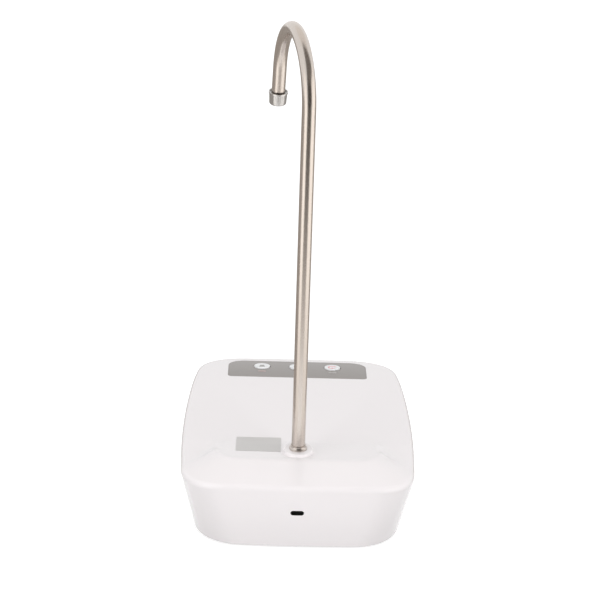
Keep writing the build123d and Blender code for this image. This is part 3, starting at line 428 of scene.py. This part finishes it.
class PumpSizes(bpy.types.PropertyGroup):
    """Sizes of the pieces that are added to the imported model."""
    pipe_radius: bpy.props.FloatProperty(name="Pipe radius", description="Outside radius of the gooseneck",
                                         default=4.0 * MM, unit="LENGTH", precision=5)
    pipe_wall: bpy.props.FloatProperty(name="Pipe wall", description="Thickness of the pipe's wall",
                                       default=0.6 * MM, unit="LENGTH", precision=5)
    bend_radius: bpy.props.FloatProperty(name="Bend radius", description="Middle radius of the arch",
                                         default=36.0 * MM, unit="LENGTH", precision=5)
    spring_height: bpy.props.FloatProperty(name="Spring height", description="Height where the arch starts",
                                           default=253.6 * MM, unit="LENGTH", precision=5)
    leg_length: bpy.props.FloatProperty(name="Outlet leg", description="Straight pipe after the arch",
                                        default=22.5 * MM, unit="LENGTH", precision=5)
    label_width: bpy.props.FloatProperty(name="Label width", description="Width of the blank label",
                                         default=26.8 * MM, unit="LENGTH", precision=5)
    label_length: bpy.props.FloatProperty(name="Label length", description="Length of the blank label",
                                          default=25.2 * MM, unit="LENGTH", precision=5)


class PumpColours(bpy.types.PropertyGroup):
    """Colours of the finishes."""
    shell: bpy.props.FloatVectorProperty(name="Housing", description="White of the housing", size=4,
                                         subtype="COLOR", default=(0.872, 0.835, 0.842, 1.0))
    panel: bpy.props.FloatVectorProperty(name="Panel", description="Grey of the key panel", size=4,
                                         subtype="COLOR", default=(0.24, 0.218, 0.202, 1.0))
    steel: bpy.props.FloatVectorProperty(name="Pipe", description="Stainless steel of the gooseneck", size=4,
                                         subtype="COLOR", default=(0.66, 0.60, 0.55, 1.0))
    ink_red: bpy.props.FloatVectorProperty(name="Red ink", description="Mark on the left key", size=4,
                                           subtype="COLOR", default=(0.80, 0.28, 0.33, 1.0))
    ink_blue: bpy.props.FloatVectorProperty(name="Blue ink", description="Mark on the middle key", size=4,
                                            subtype="COLOR", default=(0.45, 0.60, 0.85, 1.0))
    ink_grey: bpy.props.FloatVectorProperty(name="Grey ink", description="Mark on the right key", size=4,
                                            subtype="COLOR", default=(0.36, 0.35, 0.34, 1.0))


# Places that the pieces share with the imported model: the pipe's foot and arch, the deck with its nose, the keys
# on the nose's slope, and the charging slot. Then the sizes of the windows and of the label's stock.

UPRIGHT = Vector((0.0, 0.0, 1.0))
FOOT = Vector((0.0, 60.0 * MM, 0.0))
SWIVEL_ANGLE = radians(13.3)
REACH = Vector((sin(SWIVEL_ANGLE), -cos(SWIVEL_ANGLE), 0.0))
BEND_ANGLE = radians(171.5)

DECK_HEIGHT = 39.6 * MM
NOSE_Y = -45.0 * MM
NOSE_RADIUS = 250.0 * MM

KEY_SURFACE = 37.7395 * MM
KEY_SLOPE = radians(7.0077)
KEY_ROW_Y = -75.5 * MM
KEY_PITCH = 23.05 * MM
KEY_FRAME = Matrix.Translation((0, KEY_ROW_Y, KEY_SURFACE)) @ Matrix.Rotation(KEY_SLOPE, 4, "X")
MARK_HEIGHT = 0.45 * MM
MARK_THICKNESS = 0.06 * MM

SLOT_MOUTH = Vector((0.0, 94.65 * MM, 23.3 * MM))
SLOT_END_RADIUS = 1.52 * MM
SLOT_HALF_STRAIGHT = 2.4 * MM
SLEEVE_LENGTH = 2.2 * MM
SLEEVE_WALL = 0.35 * MM
SLEEVE_LIP = 0.08 * MM

WINDOW_SIZE = (5.0 * MM, 1.4 * MM, 0.16 * MM)
WINDOW_CORNER = 0.6 * MM
WINDOW_Y = KEY_ROW_Y + 9.5 * MM
WINDOW_LIFT = 0.02 * MM

LABEL_START = (23.5 * MM, 45.6 * MM, 60.0 * MM)
LABEL_CORNER = 1.2 * MM
LABEL_LIFT = 0.05 * MM
LABEL_THICKNESS = 0.12 * MM


class PUMP_OT_pipe(bpy.types.Operator):
    """Gooseneck pipe: a round riser, an arch and a short outlet leg, brushed along its length"""
    bl_idname = "pump.pipe"
    bl_label = "Gooseneck pipe"

    def execute(self, context):
        sizes = context.scene.pump_sizes
        colours = context.scene.pump_colours
        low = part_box("spout_tube")[0].z
        clear_selection()
        bpy.ops.mesh.primitive_circle_add(vertices=72, radius=sizes.pipe_radius, fill_type="NOTHING",
                                          location=FOOT + Vector((0, 0, low)))
        pipe = name_piece("gooseneck_pipe")
        apply_place()
        edit(pipe)
        bpy.ops.mesh.select_all(action="SELECT")
        riser_steps, arch_steps, leg_steps = 24, 72, 4
        for _ in range(riser_steps):
            extrude_rim((0, 0, (sizes.spring_height - low) / riser_steps))
        centre = FOOT + REACH * sizes.bend_radius + UPRIGHT * sizes.spring_height
        axis = REACH.cross(UPRIGHT)
        bpy.ops.mesh.spin(steps=arch_steps, angle=BEND_ANGLE, center=centre, axis=axis)
        down = Matrix.Rotation(-BEND_ANGLE, 3, axis) @ UPRIGHT
        for _ in range(leg_steps):
            extrude_rim(down * sizes.leg_length / leg_steps)
        close_mesh(merge_distance=1 * MICRON)
        self.map_pipe(pipe, sizes, centre, low)
        thicken(pipe, sizes.pipe_wall, -1.0)
        apply_all(pipe)
        smooth(pipe)
        dress(pipe, brushed_pipe("brushed_stainless_pipe", tuple(colours.steel), 0.27), "spout")
        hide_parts("spout_tube")
        return {"FINISHED"}

    def map_pipe(self, pipe, sizes, centre, low):
        """Lays the pipe flat: turn round it, and length along it in tenths of a metre."""
        layer = pipe.data.uv_layers.new(name="wrap")
        for face in pipe.data.polygons:
            first_turn = None
            for index in face.loop_indices:
                place = pipe.data.vertices[pipe.data.loops[index].vertex_index].co
                turn, length = self.unroll(place, sizes, centre, low)
                if first_turn is None:
                    first_turn = turn
                turn -= round(turn - first_turn)
                layer.data[index].uv = (turn, length * 10)

    def unroll(self, place, sizes, centre, low):
        """A place's turn round the pipe, in whole turns from its outer side, and its length from the foot."""
        local = place - centre
        forward = local.dot(REACH)
        up = local.z
        bend = atan2(up, -forward)
        riser = sizes.spring_height - low
        if up <= 0 and forward < 0:
            out = -sizes.bend_radius - forward
            length = place.z - low
        elif 0 < bend <= BEND_ANGLE:
            out = Vector((forward, up)).length - sizes.bend_radius
            length = riser + bend * sizes.bend_radius
        else:
            out = up * sin(BEND_ANGLE) - forward * cos(BEND_ANGLE) - sizes.bend_radius
            along = forward * sin(BEND_ANGLE) + up * cos(BEND_ANGLE)
            length = riser + BEND_ANGLE * sizes.bend_radius + along
        return atan2(local.dot(REACH.cross(UPRIGHT)), out) / tau, length


class PUMP_OT_metal_rings(bpy.types.Operator):
    """Outlet collar, strainer and foot ring in their steels"""
    bl_idname = "pump.metal_rings"
    bl_label = "Outlet and foot rings"

    def execute(self, context):
        repaint(turned_steel("fluted_stainless", (0.62, 0.61, 0.60, 1.0), 0.24), "nozzle_collar")
        repaint(turned_steel("rolled_foot_ring", (0.60, 0.55, 0.51, 1.0), 0.30), "spout_collar")
        repaint(moulded("strainer_grey", (0.35, 0.35, 0.35, 1.0), 0.5), "nozzle_strainer")
        return {"FINISHED"}


class PUMP_OT_housing(bpy.types.Operator):
    """White housing, underside, feet and case screws in their finishes"""
    bl_idname = "pump.housing"
    bl_label = "Housing"

    def execute(self, context):
        colours = context.scene.pump_colours
        repaint(shell_gloss("white_gloss_housing", tuple(colours.shell)), "top_shell")
        repaint(grained_cover("white_grained_cover", (0.74, 0.735, 0.725, 1.0)), "bottom_cover")
        repaint(rubber_skin("dark_foot_rubber", (0.035, 0.035, 0.036, 1.0), 0.62), "rubber_feet")
        repaint(turned_steel("zinc_plated_screws", (0.55, 0.55, 0.56, 1.0), 0.3), "case_screws",
                "key_board_screws", "main_board_screws", "strap_screws", "pump_screws", "motor_shaft")
        return {"FINISHED"}


class PUMP_OT_port_sleeve(bpy.types.Operator):
    """Black sleeve that lines the charging slot in the back wall; its black is painted shade for the slot"""
    bl_idname = "pump.port_sleeve"
    bl_label = "Charging slot sleeve"

    def execute(self, context):
        clear_selection()
        bpy.ops.mesh.primitive_circle_add(vertices=48, radius=SLOT_END_RADIUS, fill_type="NOTHING")
        sleeve = name_piece("port_sleeve")
        sleeve.data.transform(Matrix.Rotation(pi / 2, 4, "X"))
        edit(sleeve)
        off_middle = 0.00001 * MM
        for side in (1, -1):
            pick(sleeve, lambda vertex: vertex.co.x * side > off_middle)
            bpy.ops.transform.translate(value=(side * SLOT_HALF_STRAIGHT, 0, 0))
        bpy.ops.mesh.select_all(action="SELECT")
        extrude_rim((0, SLEEVE_LENGTH, 0))
        close_mesh()
        thicken(sleeve, SLEEVE_WALL, -1.0)
        round_edges(sleeve, SLEEVE_LIP, 2)
        apply_all(sleeve)
        carry(sleeve, Matrix.Translation(SLOT_MOUTH))
        smooth(sleeve)
        # The sleeve's black paints the slot dark, as shade.
        dress(sleeve, moulded("slot_shade_sleeve", SLOT_SHADE_BLACK, 0.5), "base")
        return {"FINISHED"}


def join(pieces, name):
    select_only(pieces[0])
    for piece in pieces:
        piece.select_set(True)
    bpy.ops.object.join()
    return name_piece(name)


class PUMP_OT_keys(bpy.types.Operator):
    """Key panel, the three keys and their printed marks"""
    bl_idname = "pump.keys"
    bl_label = "Key panel"

    def execute(self, context):
        colours = context.scene.pump_colours
        repaint(panel_film("warm_grey_film", tuple(colours.panel)), "control_panel")
        repaint(moulded("white_keys", (0.84, 0.845, 0.855, 1.0), 0.28, coat=0.2), "button_left",
                "button_middle", "button_right")
        red = printed("red_mark_ink", tuple(colours.ink_red), 0.35)
        blue = printed("blue_mark_ink", tuple(colours.ink_blue), 0.35)
        grey = printed("grey_mark_ink", tuple(colours.ink_grey), 0.35)
        self.settle(self.power(-KEY_PITCH), "power_mark", red, "left_key")
        self.settle(self.drop(0), "drop_mark", blue, "middle_key")
        self.settle(self.cup(KEY_PITCH), "cup_mark", grey, "right_key")
        return {"FINISHED"}

    def block(self, name, width, length, x, y):
        """A thin block on the key row's plane, at its place across and back from the row's middle."""
        clear_selection()
        bpy.ops.mesh.primitive_cube_add(size=1.0, location=(x, y, MARK_HEIGHT + MARK_THICKNESS / 2),
                                        scale=(width, length, MARK_THICKNESS))
        piece = name_piece(name)
        apply_place()
        return piece

    def bar(self, name, width, length, x, y):
        """A thin block with its edges rounded over."""
        piece = self.block(name, width, length, x, y)
        round_edges(piece, min(width, length) * 0.3, 3)
        apply_all(piece)
        return piece

    def power(self, x):
        """An open ring with a stroke in its gap: the ring is spun from a small upright section."""
        radius, width, half_gap = 2.45 * MM, 0.8 * MM, radians(38)
        start = pi / 2 + half_gap
        clear_selection()
        bpy.ops.mesh.primitive_plane_add(size=1.0)
        ring = name_piece("power_bow")
        ring.data.transform(Matrix(((cos(start) * width, 0, 0, x + cos(start) * radius),
                                    (sin(start) * width, 0, 0, sin(start) * radius),
                                    (0, MARK_THICKNESS, 1, MARK_HEIGHT + MARK_THICKNESS / 2),
                                    (0, 0, 0, 1))))
        edit(ring)
        bpy.ops.mesh.select_all(action="SELECT")
        bpy.ops.mesh.spin(steps=40, angle=tau - 2 * half_gap, center=(x, 0, MARK_HEIGHT), axis=UPRIGHT)
        close_mesh(merge_distance=0.5 * MICRON)
        return [ring, self.bar("power_stroke", width, 2.2 * MM, x, 1.7 * MM)]

    def drop(self, x):
        """A water drop: a disc whose back half is drawn to a point."""
        radius, y = 1.9 * MM, -0.5 * MM
        clear_selection()
        bpy.ops.mesh.primitive_cylinder_add(vertices=48, radius=radius, depth=MARK_THICKNESS,
                                            location=(x, y, MARK_HEIGHT + MARK_THICKNESS / 2))
        piece = name_piece("drop_mark")
        apply_place()
        edit(piece)
        for vertex in bmesh.from_edit_mesh(piece.data).verts:
            back = max(0.0, (vertex.co.y - y) / radius)
            vertex.co.y += 0.9 * radius * back**2
            vertex.co.x = x + (vertex.co.x - x) * (1 - 0.55 * back**1.5)
        bmesh.update_edit_mesh(piece.data)
        leave_edit()
        return [piece]

    def cup(self, x):
        """A small beaker: a block that tapers to its foot, with a bar over its rim."""
        beaker = self.block("cup_body", 3.4 * MM, 3.2 * MM, x, -0.45 * MM)
        edit(beaker)
        pick(beaker, lambda vertex: vertex.co.y < -1.0 * MM)
        bpy.ops.transform.resize(value=(0.72, 1, 1), center_override=(x, 0, MARK_HEIGHT))
        leave_edit()
        return [beaker, self.bar("cup_rim", 4.0 * MM, 0.6 * MM, x, 1.75 * MM)]

    def settle(self, pieces, name, ink, body):
        """Joins a mark's pieces and lays them in the dish of their key."""
        piece = join(pieces, name) if len(pieces) > 1 else pieces[0]
        carry(piece, KEY_FRAME)
        smooth(piece)
        dress(piece, ink, body)


class PUMP_OT_indicators(bpy.types.Operator):
    """Small round-ended windows behind the outer keys, let into the panel's film"""
    bl_idname = "pump.indicators"
    bl_label = "Indicator windows"

    def execute(self, context):
        down_nose = NOSE_Y - WINDOW_Y
        height = DECK_HEIGHT - down_nose**2 / (2 * NOSE_RADIUS) + WINDOW_LIFT
        windows = (("indicator_left", -KEY_PITCH, (0.42, 0.40, 0.38, 1.0)),
                   ("indicator_right", KEY_PITCH, (0.50, 0.36, 0.34, 1.0)))
        for name, x, tint in windows:
            clear_selection()
            bpy.ops.mesh.primitive_cube_add(size=1.0, scale=WINDOW_SIZE)
            window = name_piece(name)
            apply_place()
            round_edges(window, WINDOW_CORNER, 6)
            apply_all(window)
            carry(window, Matrix.Translation((x, WINDOW_Y, height))
                  @ Matrix.Rotation(down_nose / NOSE_RADIUS, 4, "X"))
            smooth(window)
            dress(window, printed(name + "_tint", tint, 0.2), "base")
        return {"FINISHED"}


class PUMP_OT_label(bpy.types.Operator):
    """Blank silver label on the ramp beside the pipe's foot, lying on the housing"""
    bl_idname = "pump.label"
    bl_label = "Blank label"

    def execute(self, context):
        sizes = context.scene.pump_sizes
        clear_selection()
        bpy.ops.mesh.primitive_grid_add(x_subdivisions=40, y_subdivisions=34, size=1.0, location=LABEL_START)
        label = name_piece("blank_label")
        bpy.ops.transform.resize(value=(sizes.label_width, sizes.label_length, 1.0))
        apply_place()
        edit(label)
        pick(label, lambda vertex: len(vertex.link_edges) == 2)
        bpy.ops.mesh.bevel(offset=LABEL_CORNER, offset_pct=0, segments=5, affect="VERTICES")
        leave_edit()
        drape = label.modifiers.new("drape", "SHRINKWRAP")
        drape.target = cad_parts["top_shell"]
        drape.wrap_method = "PROJECT"
        drape.use_project_z = True
        drape.use_negative_direction = True
        drape.use_positive_direction = False
        drape.offset = LABEL_LIFT
        thicken(label, LABEL_THICKNESS, 1.0)
        apply_all(label)
        smooth(label, 60.0)
        dress(label, label_foil("silver_label_stock", (0.60, 0.585, 0.575, 1.0)), "base")
        return {"FINISHED"}


class PUMP_OT_insides(bpy.types.Operator):
    """Boards, motor, pump head, cell and hoses in their finishes"""
    bl_idname = "pump.insides"
    bl_label = "Inner pieces"

    def execute(self, context):
        repaint(board_mask("green_board", (0.02, 0.13, 0.06, 1.0)), "key_board", "main_board")
        repaint(moulded("black_mouldings", (0.02, 0.02, 0.022, 1.0), 0.45), "key_switches", "plunger_left",
                "plunger_middle", "plunger_right", "motor_end_cap")
        repaint(moulded("natural_mouldings", (0.72, 0.71, 0.66, 1.0), 0.5), "spout_socket", "spout_plug",
                "motor_strap", "battery_strap", "pump_crankcase", "pump_wobble_plate", "pump_valve_plate",
                "pump_cover", "inlet_fitting", "pump_eccentric")
        repaint(turned_steel("bright_can_steel", (0.66, 0.66, 0.67, 1.0), 0.3), "motor_can")
        low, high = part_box("usb_socket")
        repaint(socket_steel("socket_plating", (0.62, 0.62, 0.63, 1.0), (Vector(low) + Vector(high)) / 2),
                "usb_socket")
        repaint(turned_steel("dull_ferrite", (0.09, 0.09, 0.095, 1.0), 0.6), "motor_magnets")
        repaint(wound_rotor("wound_iron", (0.28, 0.28, 0.28, 1.0), (0.55, 0.22, 0.10, 1.0)), "motor_rotor")
        repaint(rubber_skin("milky_silicone", (0.62, 0.64, 0.63, 1.0), 0.35), "inlet_hose", "outlet_hose")
        repaint(rubber_skin("black_seal_rubber", (0.02, 0.02, 0.02, 1.0), 0.5), "spout_seals", "pump_diaphragm")
        repaint(moulded("blue_cell_sleeve", (0.03, 0.12, 0.38, 1.0), 0.3), "battery_cell")
        return {"FINISHED"}


# Camera and studio

PICTURE_WIDTH = 600
SENSOR_WIDTH = 36.0
FOCAL_PIXELS = 1914.27
CAMERA_PLACE = (0.01757, 1.0716, 0.5554)
CAMERA_AWAY = (-0.01454, -0.92528, -0.37900)
CAMERA_ROLL = radians(1.80)

FLOOR_SIZE = 12.0
FLOOR_GREY = (0.50, 0.50, 0.50, 1.0)
FLOOR_GLOW = 0.72
ROOM_GREY = (0.90, 0.90, 0.90, 1.0)
ROOM_STRENGTH = 0.78
LIT_PLACE = (0.0, 0.0, 0.03)
CARD_LIFT = 0.4 * MM


def aim_camera():
    """The photograph's view: the solved place, view direction and roll."""
    away = Vector(CAMERA_AWAY).normalized()
    across = away.cross(UPRIGHT).normalized()
    upward = across.cross(away)
    right = across * cos(CAMERA_ROLL) + upward * sin(CAMERA_ROLL)
    top = upward * cos(CAMERA_ROLL) - across * sin(CAMERA_ROLL)
    data = bpy.data.cameras.new("photo_camera")
    data.sensor_width = SENSOR_WIDTH
    data.lens = FOCAL_PIXELS / PICTURE_WIDTH * SENSOR_WIDTH
    data.clip_start = 0.01
    camera = bpy.data.objects.new("photo_camera", data)
    bpy.context.scene.collection.objects.link(camera)
    turn = Matrix((right, top, -away)).transposed()
    camera.matrix_world = Matrix.Translation(CAMERA_PLACE) @ turn.to_4x4()
    bpy.context.scene.camera = camera


def soft_light(name, place, width, height, power):
    """A wide lamp that faces the pump and doesn't show in polished metal."""
    data = bpy.data.lights.new(name, "AREA")
    data.shape = "RECTANGLE"
    data.size = width
    data.size_y = height
    data.energy = power
    lamp = bpy.data.objects.new(name, data)
    bpy.context.scene.collection.objects.link(lamp)
    lamp.location = place
    lamp.rotation_euler = (Vector(LIT_PLACE) - Vector(place)).to_track_quat("-Z", "Y").to_euler()
    lamp.visible_camera = False
    lamp.visible_glossy = False


class PUMP_OT_studio(bpy.types.Operator):
    """Pale floor, soft lights, white surround and the photograph's camera"""
    bl_idname = "pump.studio"
    bl_label = "Studio"

    def execute(self, context):
        aim_camera()
        self.floor()
        self.floor_card("dark_card", turns=(-25, 41), span=(0.24, 1.7), tones=(0.88, 0.10), fade=(0.24, 0.62))
        self.floor_card("grey_card", turns=(104, 290), span=(0.14, 3.0), tones=(0.42, 0.36), fade=(0.5, 2.0))
        self.floor_card("left_card", turns=(-70, -25), span=(0.13, 3.0), tones=(1.02, 1.55), fade=(0.14, 0.45))
        self.floor_card("right_card", turns=(41, 104), span=(0.13, 3.0), tones=(1.02, 1.50), fade=(0.14, 0.50))
        self.tall_card("dark_screen", start=(-1.25, 1.76), end=(0.75, 1.76), height=4.6, tones=(0.07, 0.16))
        self.tall_card("side_screen", start=(-2.4, 0.3), end=(-1.25, 1.76), height=4.2, tones=(0.10, 0.20))
        self.tall_card("left_screen", start=(0.71, 1.15), end=(1.26, 0.40), height=0.9, tones=(1.5, 1.3))
        self.tall_card("right_screen", start=(-0.92, 0.98), end=(-1.22, -0.38), height=0.9, tones=(1.5, 1.3))
        self.roof_card("roof_card", middle=(0.0, -0.85), height=1.4, size=1.5, tone=0.95)
        self.roof_card("dark_roof", middle=(-0.75, 0.98), height=1.25, size=2.1, tone=0.20)
        self.surround(context.scene)
        soft_light("soft_left", (1.02, 1.0, 0.66), width=1.0, height=0.8, power=7.9)
        soft_light("soft_right", (-1.02, 1.0, 0.66), width=1.0, height=0.8, power=7.9)
        soft_light("soft_front", (0.0, -1.45, 0.42), width=1.2, height=0.7, power=2.2)
        context.scene.view_settings.view_transform = "Standard"
        return {"FINISHED"}

    def floor(self):
        """Pale floor that keeps the pump's shadow, shown white to the camera and to polished metal."""
        clear_selection()
        bpy.ops.mesh.primitive_plane_add(size=FLOOR_SIZE)
        floor = name_piece("floor")
        paint = Paint("pale_floor")
        seen = self.seen(paint)
        plain = paint.node("ShaderNodeBsdfDiffuse", {}, {"Color": FLOOR_GREY})
        glow = paint.node("ShaderNodeEmission", {}, {"Color": WHITE, "Strength": FLOOR_GLOW})
        both = paint.node("ShaderNodeAddShader", {}, {0: plain, 1: glow})
        paint.close(paint.node("ShaderNodeMixShader", {}, {"Fac": seen, 1: plain, 2: both}))
        floor.data.materials.append(paint.material)

    def seen(self, paint):
        """1 for rays from the camera, from gloss and through clear pieces, and 0 for soft light."""
        rays = [paint.node("ShaderNodeLightPath", output=name)
                for name in ("Is Camera Ray", "Is Glossy Ray", "Is Transmission Ray")]
        return rays[0].math("MAXIMUM", rays[0], rays[1].math("MAXIMUM", rays[1], rays[2]))

    def floor_card(self, name, turns, span, tones, fade):
        """A card on the floor round the pipe's foot, which shows only in polished metal.

        Its turns are in degrees from the camera's side, its span is from its near edge to its far edge, and
        its tone goes from the first to the second over the distances of the fade.
        """
        card = self.card(name)
        for vertex in card.data.vertices:
            turn = radians(turns[0] + (turns[1] - turns[0]) * (vertex.co.x + 0.5))
            away = span[1] if vertex.co.y > 0 else span[0]
            vertex.co = FOOT + Vector((-away * sin(turn), away * cos(turn), CARD_LIFT))
        paint = Paint(name)
        distance = paint.node("ShaderNodeVectorMath", {"operation": "DISTANCE"},
                              {0: paint.place(), 1: tuple(FOOT)}, "Value")
        self.finish_card(card, paint, paint.blend(distance.between(*fade), self.warm(tones[0]),
                                                  self.warm(tones[1])))

    def tall_card(self, name, start, end, height, tones):
        """An upright card between two places on the floor, which shows only in polished metal."""
        card = self.card(name)
        for vertex in card.data.vertices:
            place = Vector(start).lerp(Vector(end), vertex.co.x + 0.5)
            vertex.co = Vector((place.x, place.y, height if vertex.co.y > 0 else 0.0))
        paint = Paint(name)
        rise = paint.place().part("Z").between(0.0, height)
        self.finish_card(card, paint, paint.blend(rise, self.warm(tones[0]), self.warm(tones[1])))

    def roof_card(self, name, middle, height, size, tone):
        """A card overhead, which shows only in polished metal."""
        card = self.card(name)
        for vertex in card.data.vertices:
            vertex.co = Vector((middle[0] + size * vertex.co.x, middle[1] + size * vertex.co.y, height))
        paint = Paint(name)
        fleck = paint.noise(3.0, 1.0)
        self.finish_card(card, paint, paint.blend(fleck, self.warm(tone), self.warm(tone * 0.95)))

    def card(self, name):
        """A plain strip, still to be laid in its place."""
        clear_selection()
        bpy.ops.mesh.primitive_grid_add(x_subdivisions=12, y_subdivisions=1, size=1.0)
        return name_piece(name)

    def warm(self, tone):
        """A tone of a card, which is browner the darker it is."""
        brown = 1.0 - min(tone, 1.0)
        return (tone, tone * (0.965 - 0.07 * brown), tone * (0.93 - 0.12 * brown), 1.0)

    def finish_card(self, card, paint, tone):
        """Lets the card glow in its tone, for gloss alone."""
        card.data.update()
        paint.close(paint.node("ShaderNodeEmission", {}, {"Color": tone, "Strength": 1.0}))
        card.data.materials.append(paint.material)
        card.visible_camera = False
        card.visible_diffuse = False
        card.visible_shadow = False

    def surround(self, scene):
        """Soft grey room light, shown white to the camera and to polished metal."""
        paint = Paint("studio_surround", world=True)
        white = paint.node("ShaderNodeBackground", {}, {"Color": WHITE, "Strength": 1.0})
        room = paint.node("ShaderNodeBackground", {}, {"Color": ROOM_GREY, "Strength": ROOM_STRENGTH})
        paint.close(paint.node("ShaderNodeMixShader", {}, {"Fac": self.seen(paint), 1: room, 2: white}))
        scene.world = paint.material


class PUMP_PT_sidebar(bpy.types.Panel):
    """Sizes, colours and the steps that build the pump"""
    bl_label = "Water Pump"
    bl_idname = "PUMP_PT_sidebar"
    bl_space_type = "VIEW_3D"
    bl_region_type = "UI"
    bl_category = "Water Pump"

    def draw(self, context):
        for group in (context.scene.pump_sizes, context.scene.pump_colours):
            box = self.layout.box()
            for key in group.__annotations__:
                box.prop(group, key)
        for operator in OPERATORS:
            self.layout.operator(operator.bl_idname)


OPERATORS = (PUMP_OT_housing, PUMP_OT_port_sleeve, PUMP_OT_keys, PUMP_OT_indicators, PUMP_OT_pipe,
             PUMP_OT_metal_rings, PUMP_OT_label, PUMP_OT_insides, PUMP_OT_studio)
CLASSES = (PumpSizes, PumpColours, *OPERATORS, PUMP_PT_sidebar)


def register():
    for cls in CLASSES:
        bpy.utils.register_class(cls)
    bpy.types.Scene.pump_sizes = bpy.props.PointerProperty(type=PumpSizes)
    bpy.types.Scene.pump_colours = bpy.props.PointerProperty(type=PumpColours)


def unregister():
    del bpy.types.Scene.pump_colours
    del bpy.types.Scene.pump_sizes
    for cls in reversed(CLASSES):
        bpy.utils.unregister_class(cls)


def main():
    register()
    bpy.ops.pump.housing()
    bpy.ops.pump.port_sleeve()
    bpy.ops.pump.keys()
    bpy.ops.pump.indicators()
    bpy.ops.pump.pipe()
    bpy.ops.pump.metal_rings()
    bpy.ops.pump.label()
    bpy.ops.pump.insides()
    bpy.ops.pump.studio()


if __name__ == "__main__":
    main()
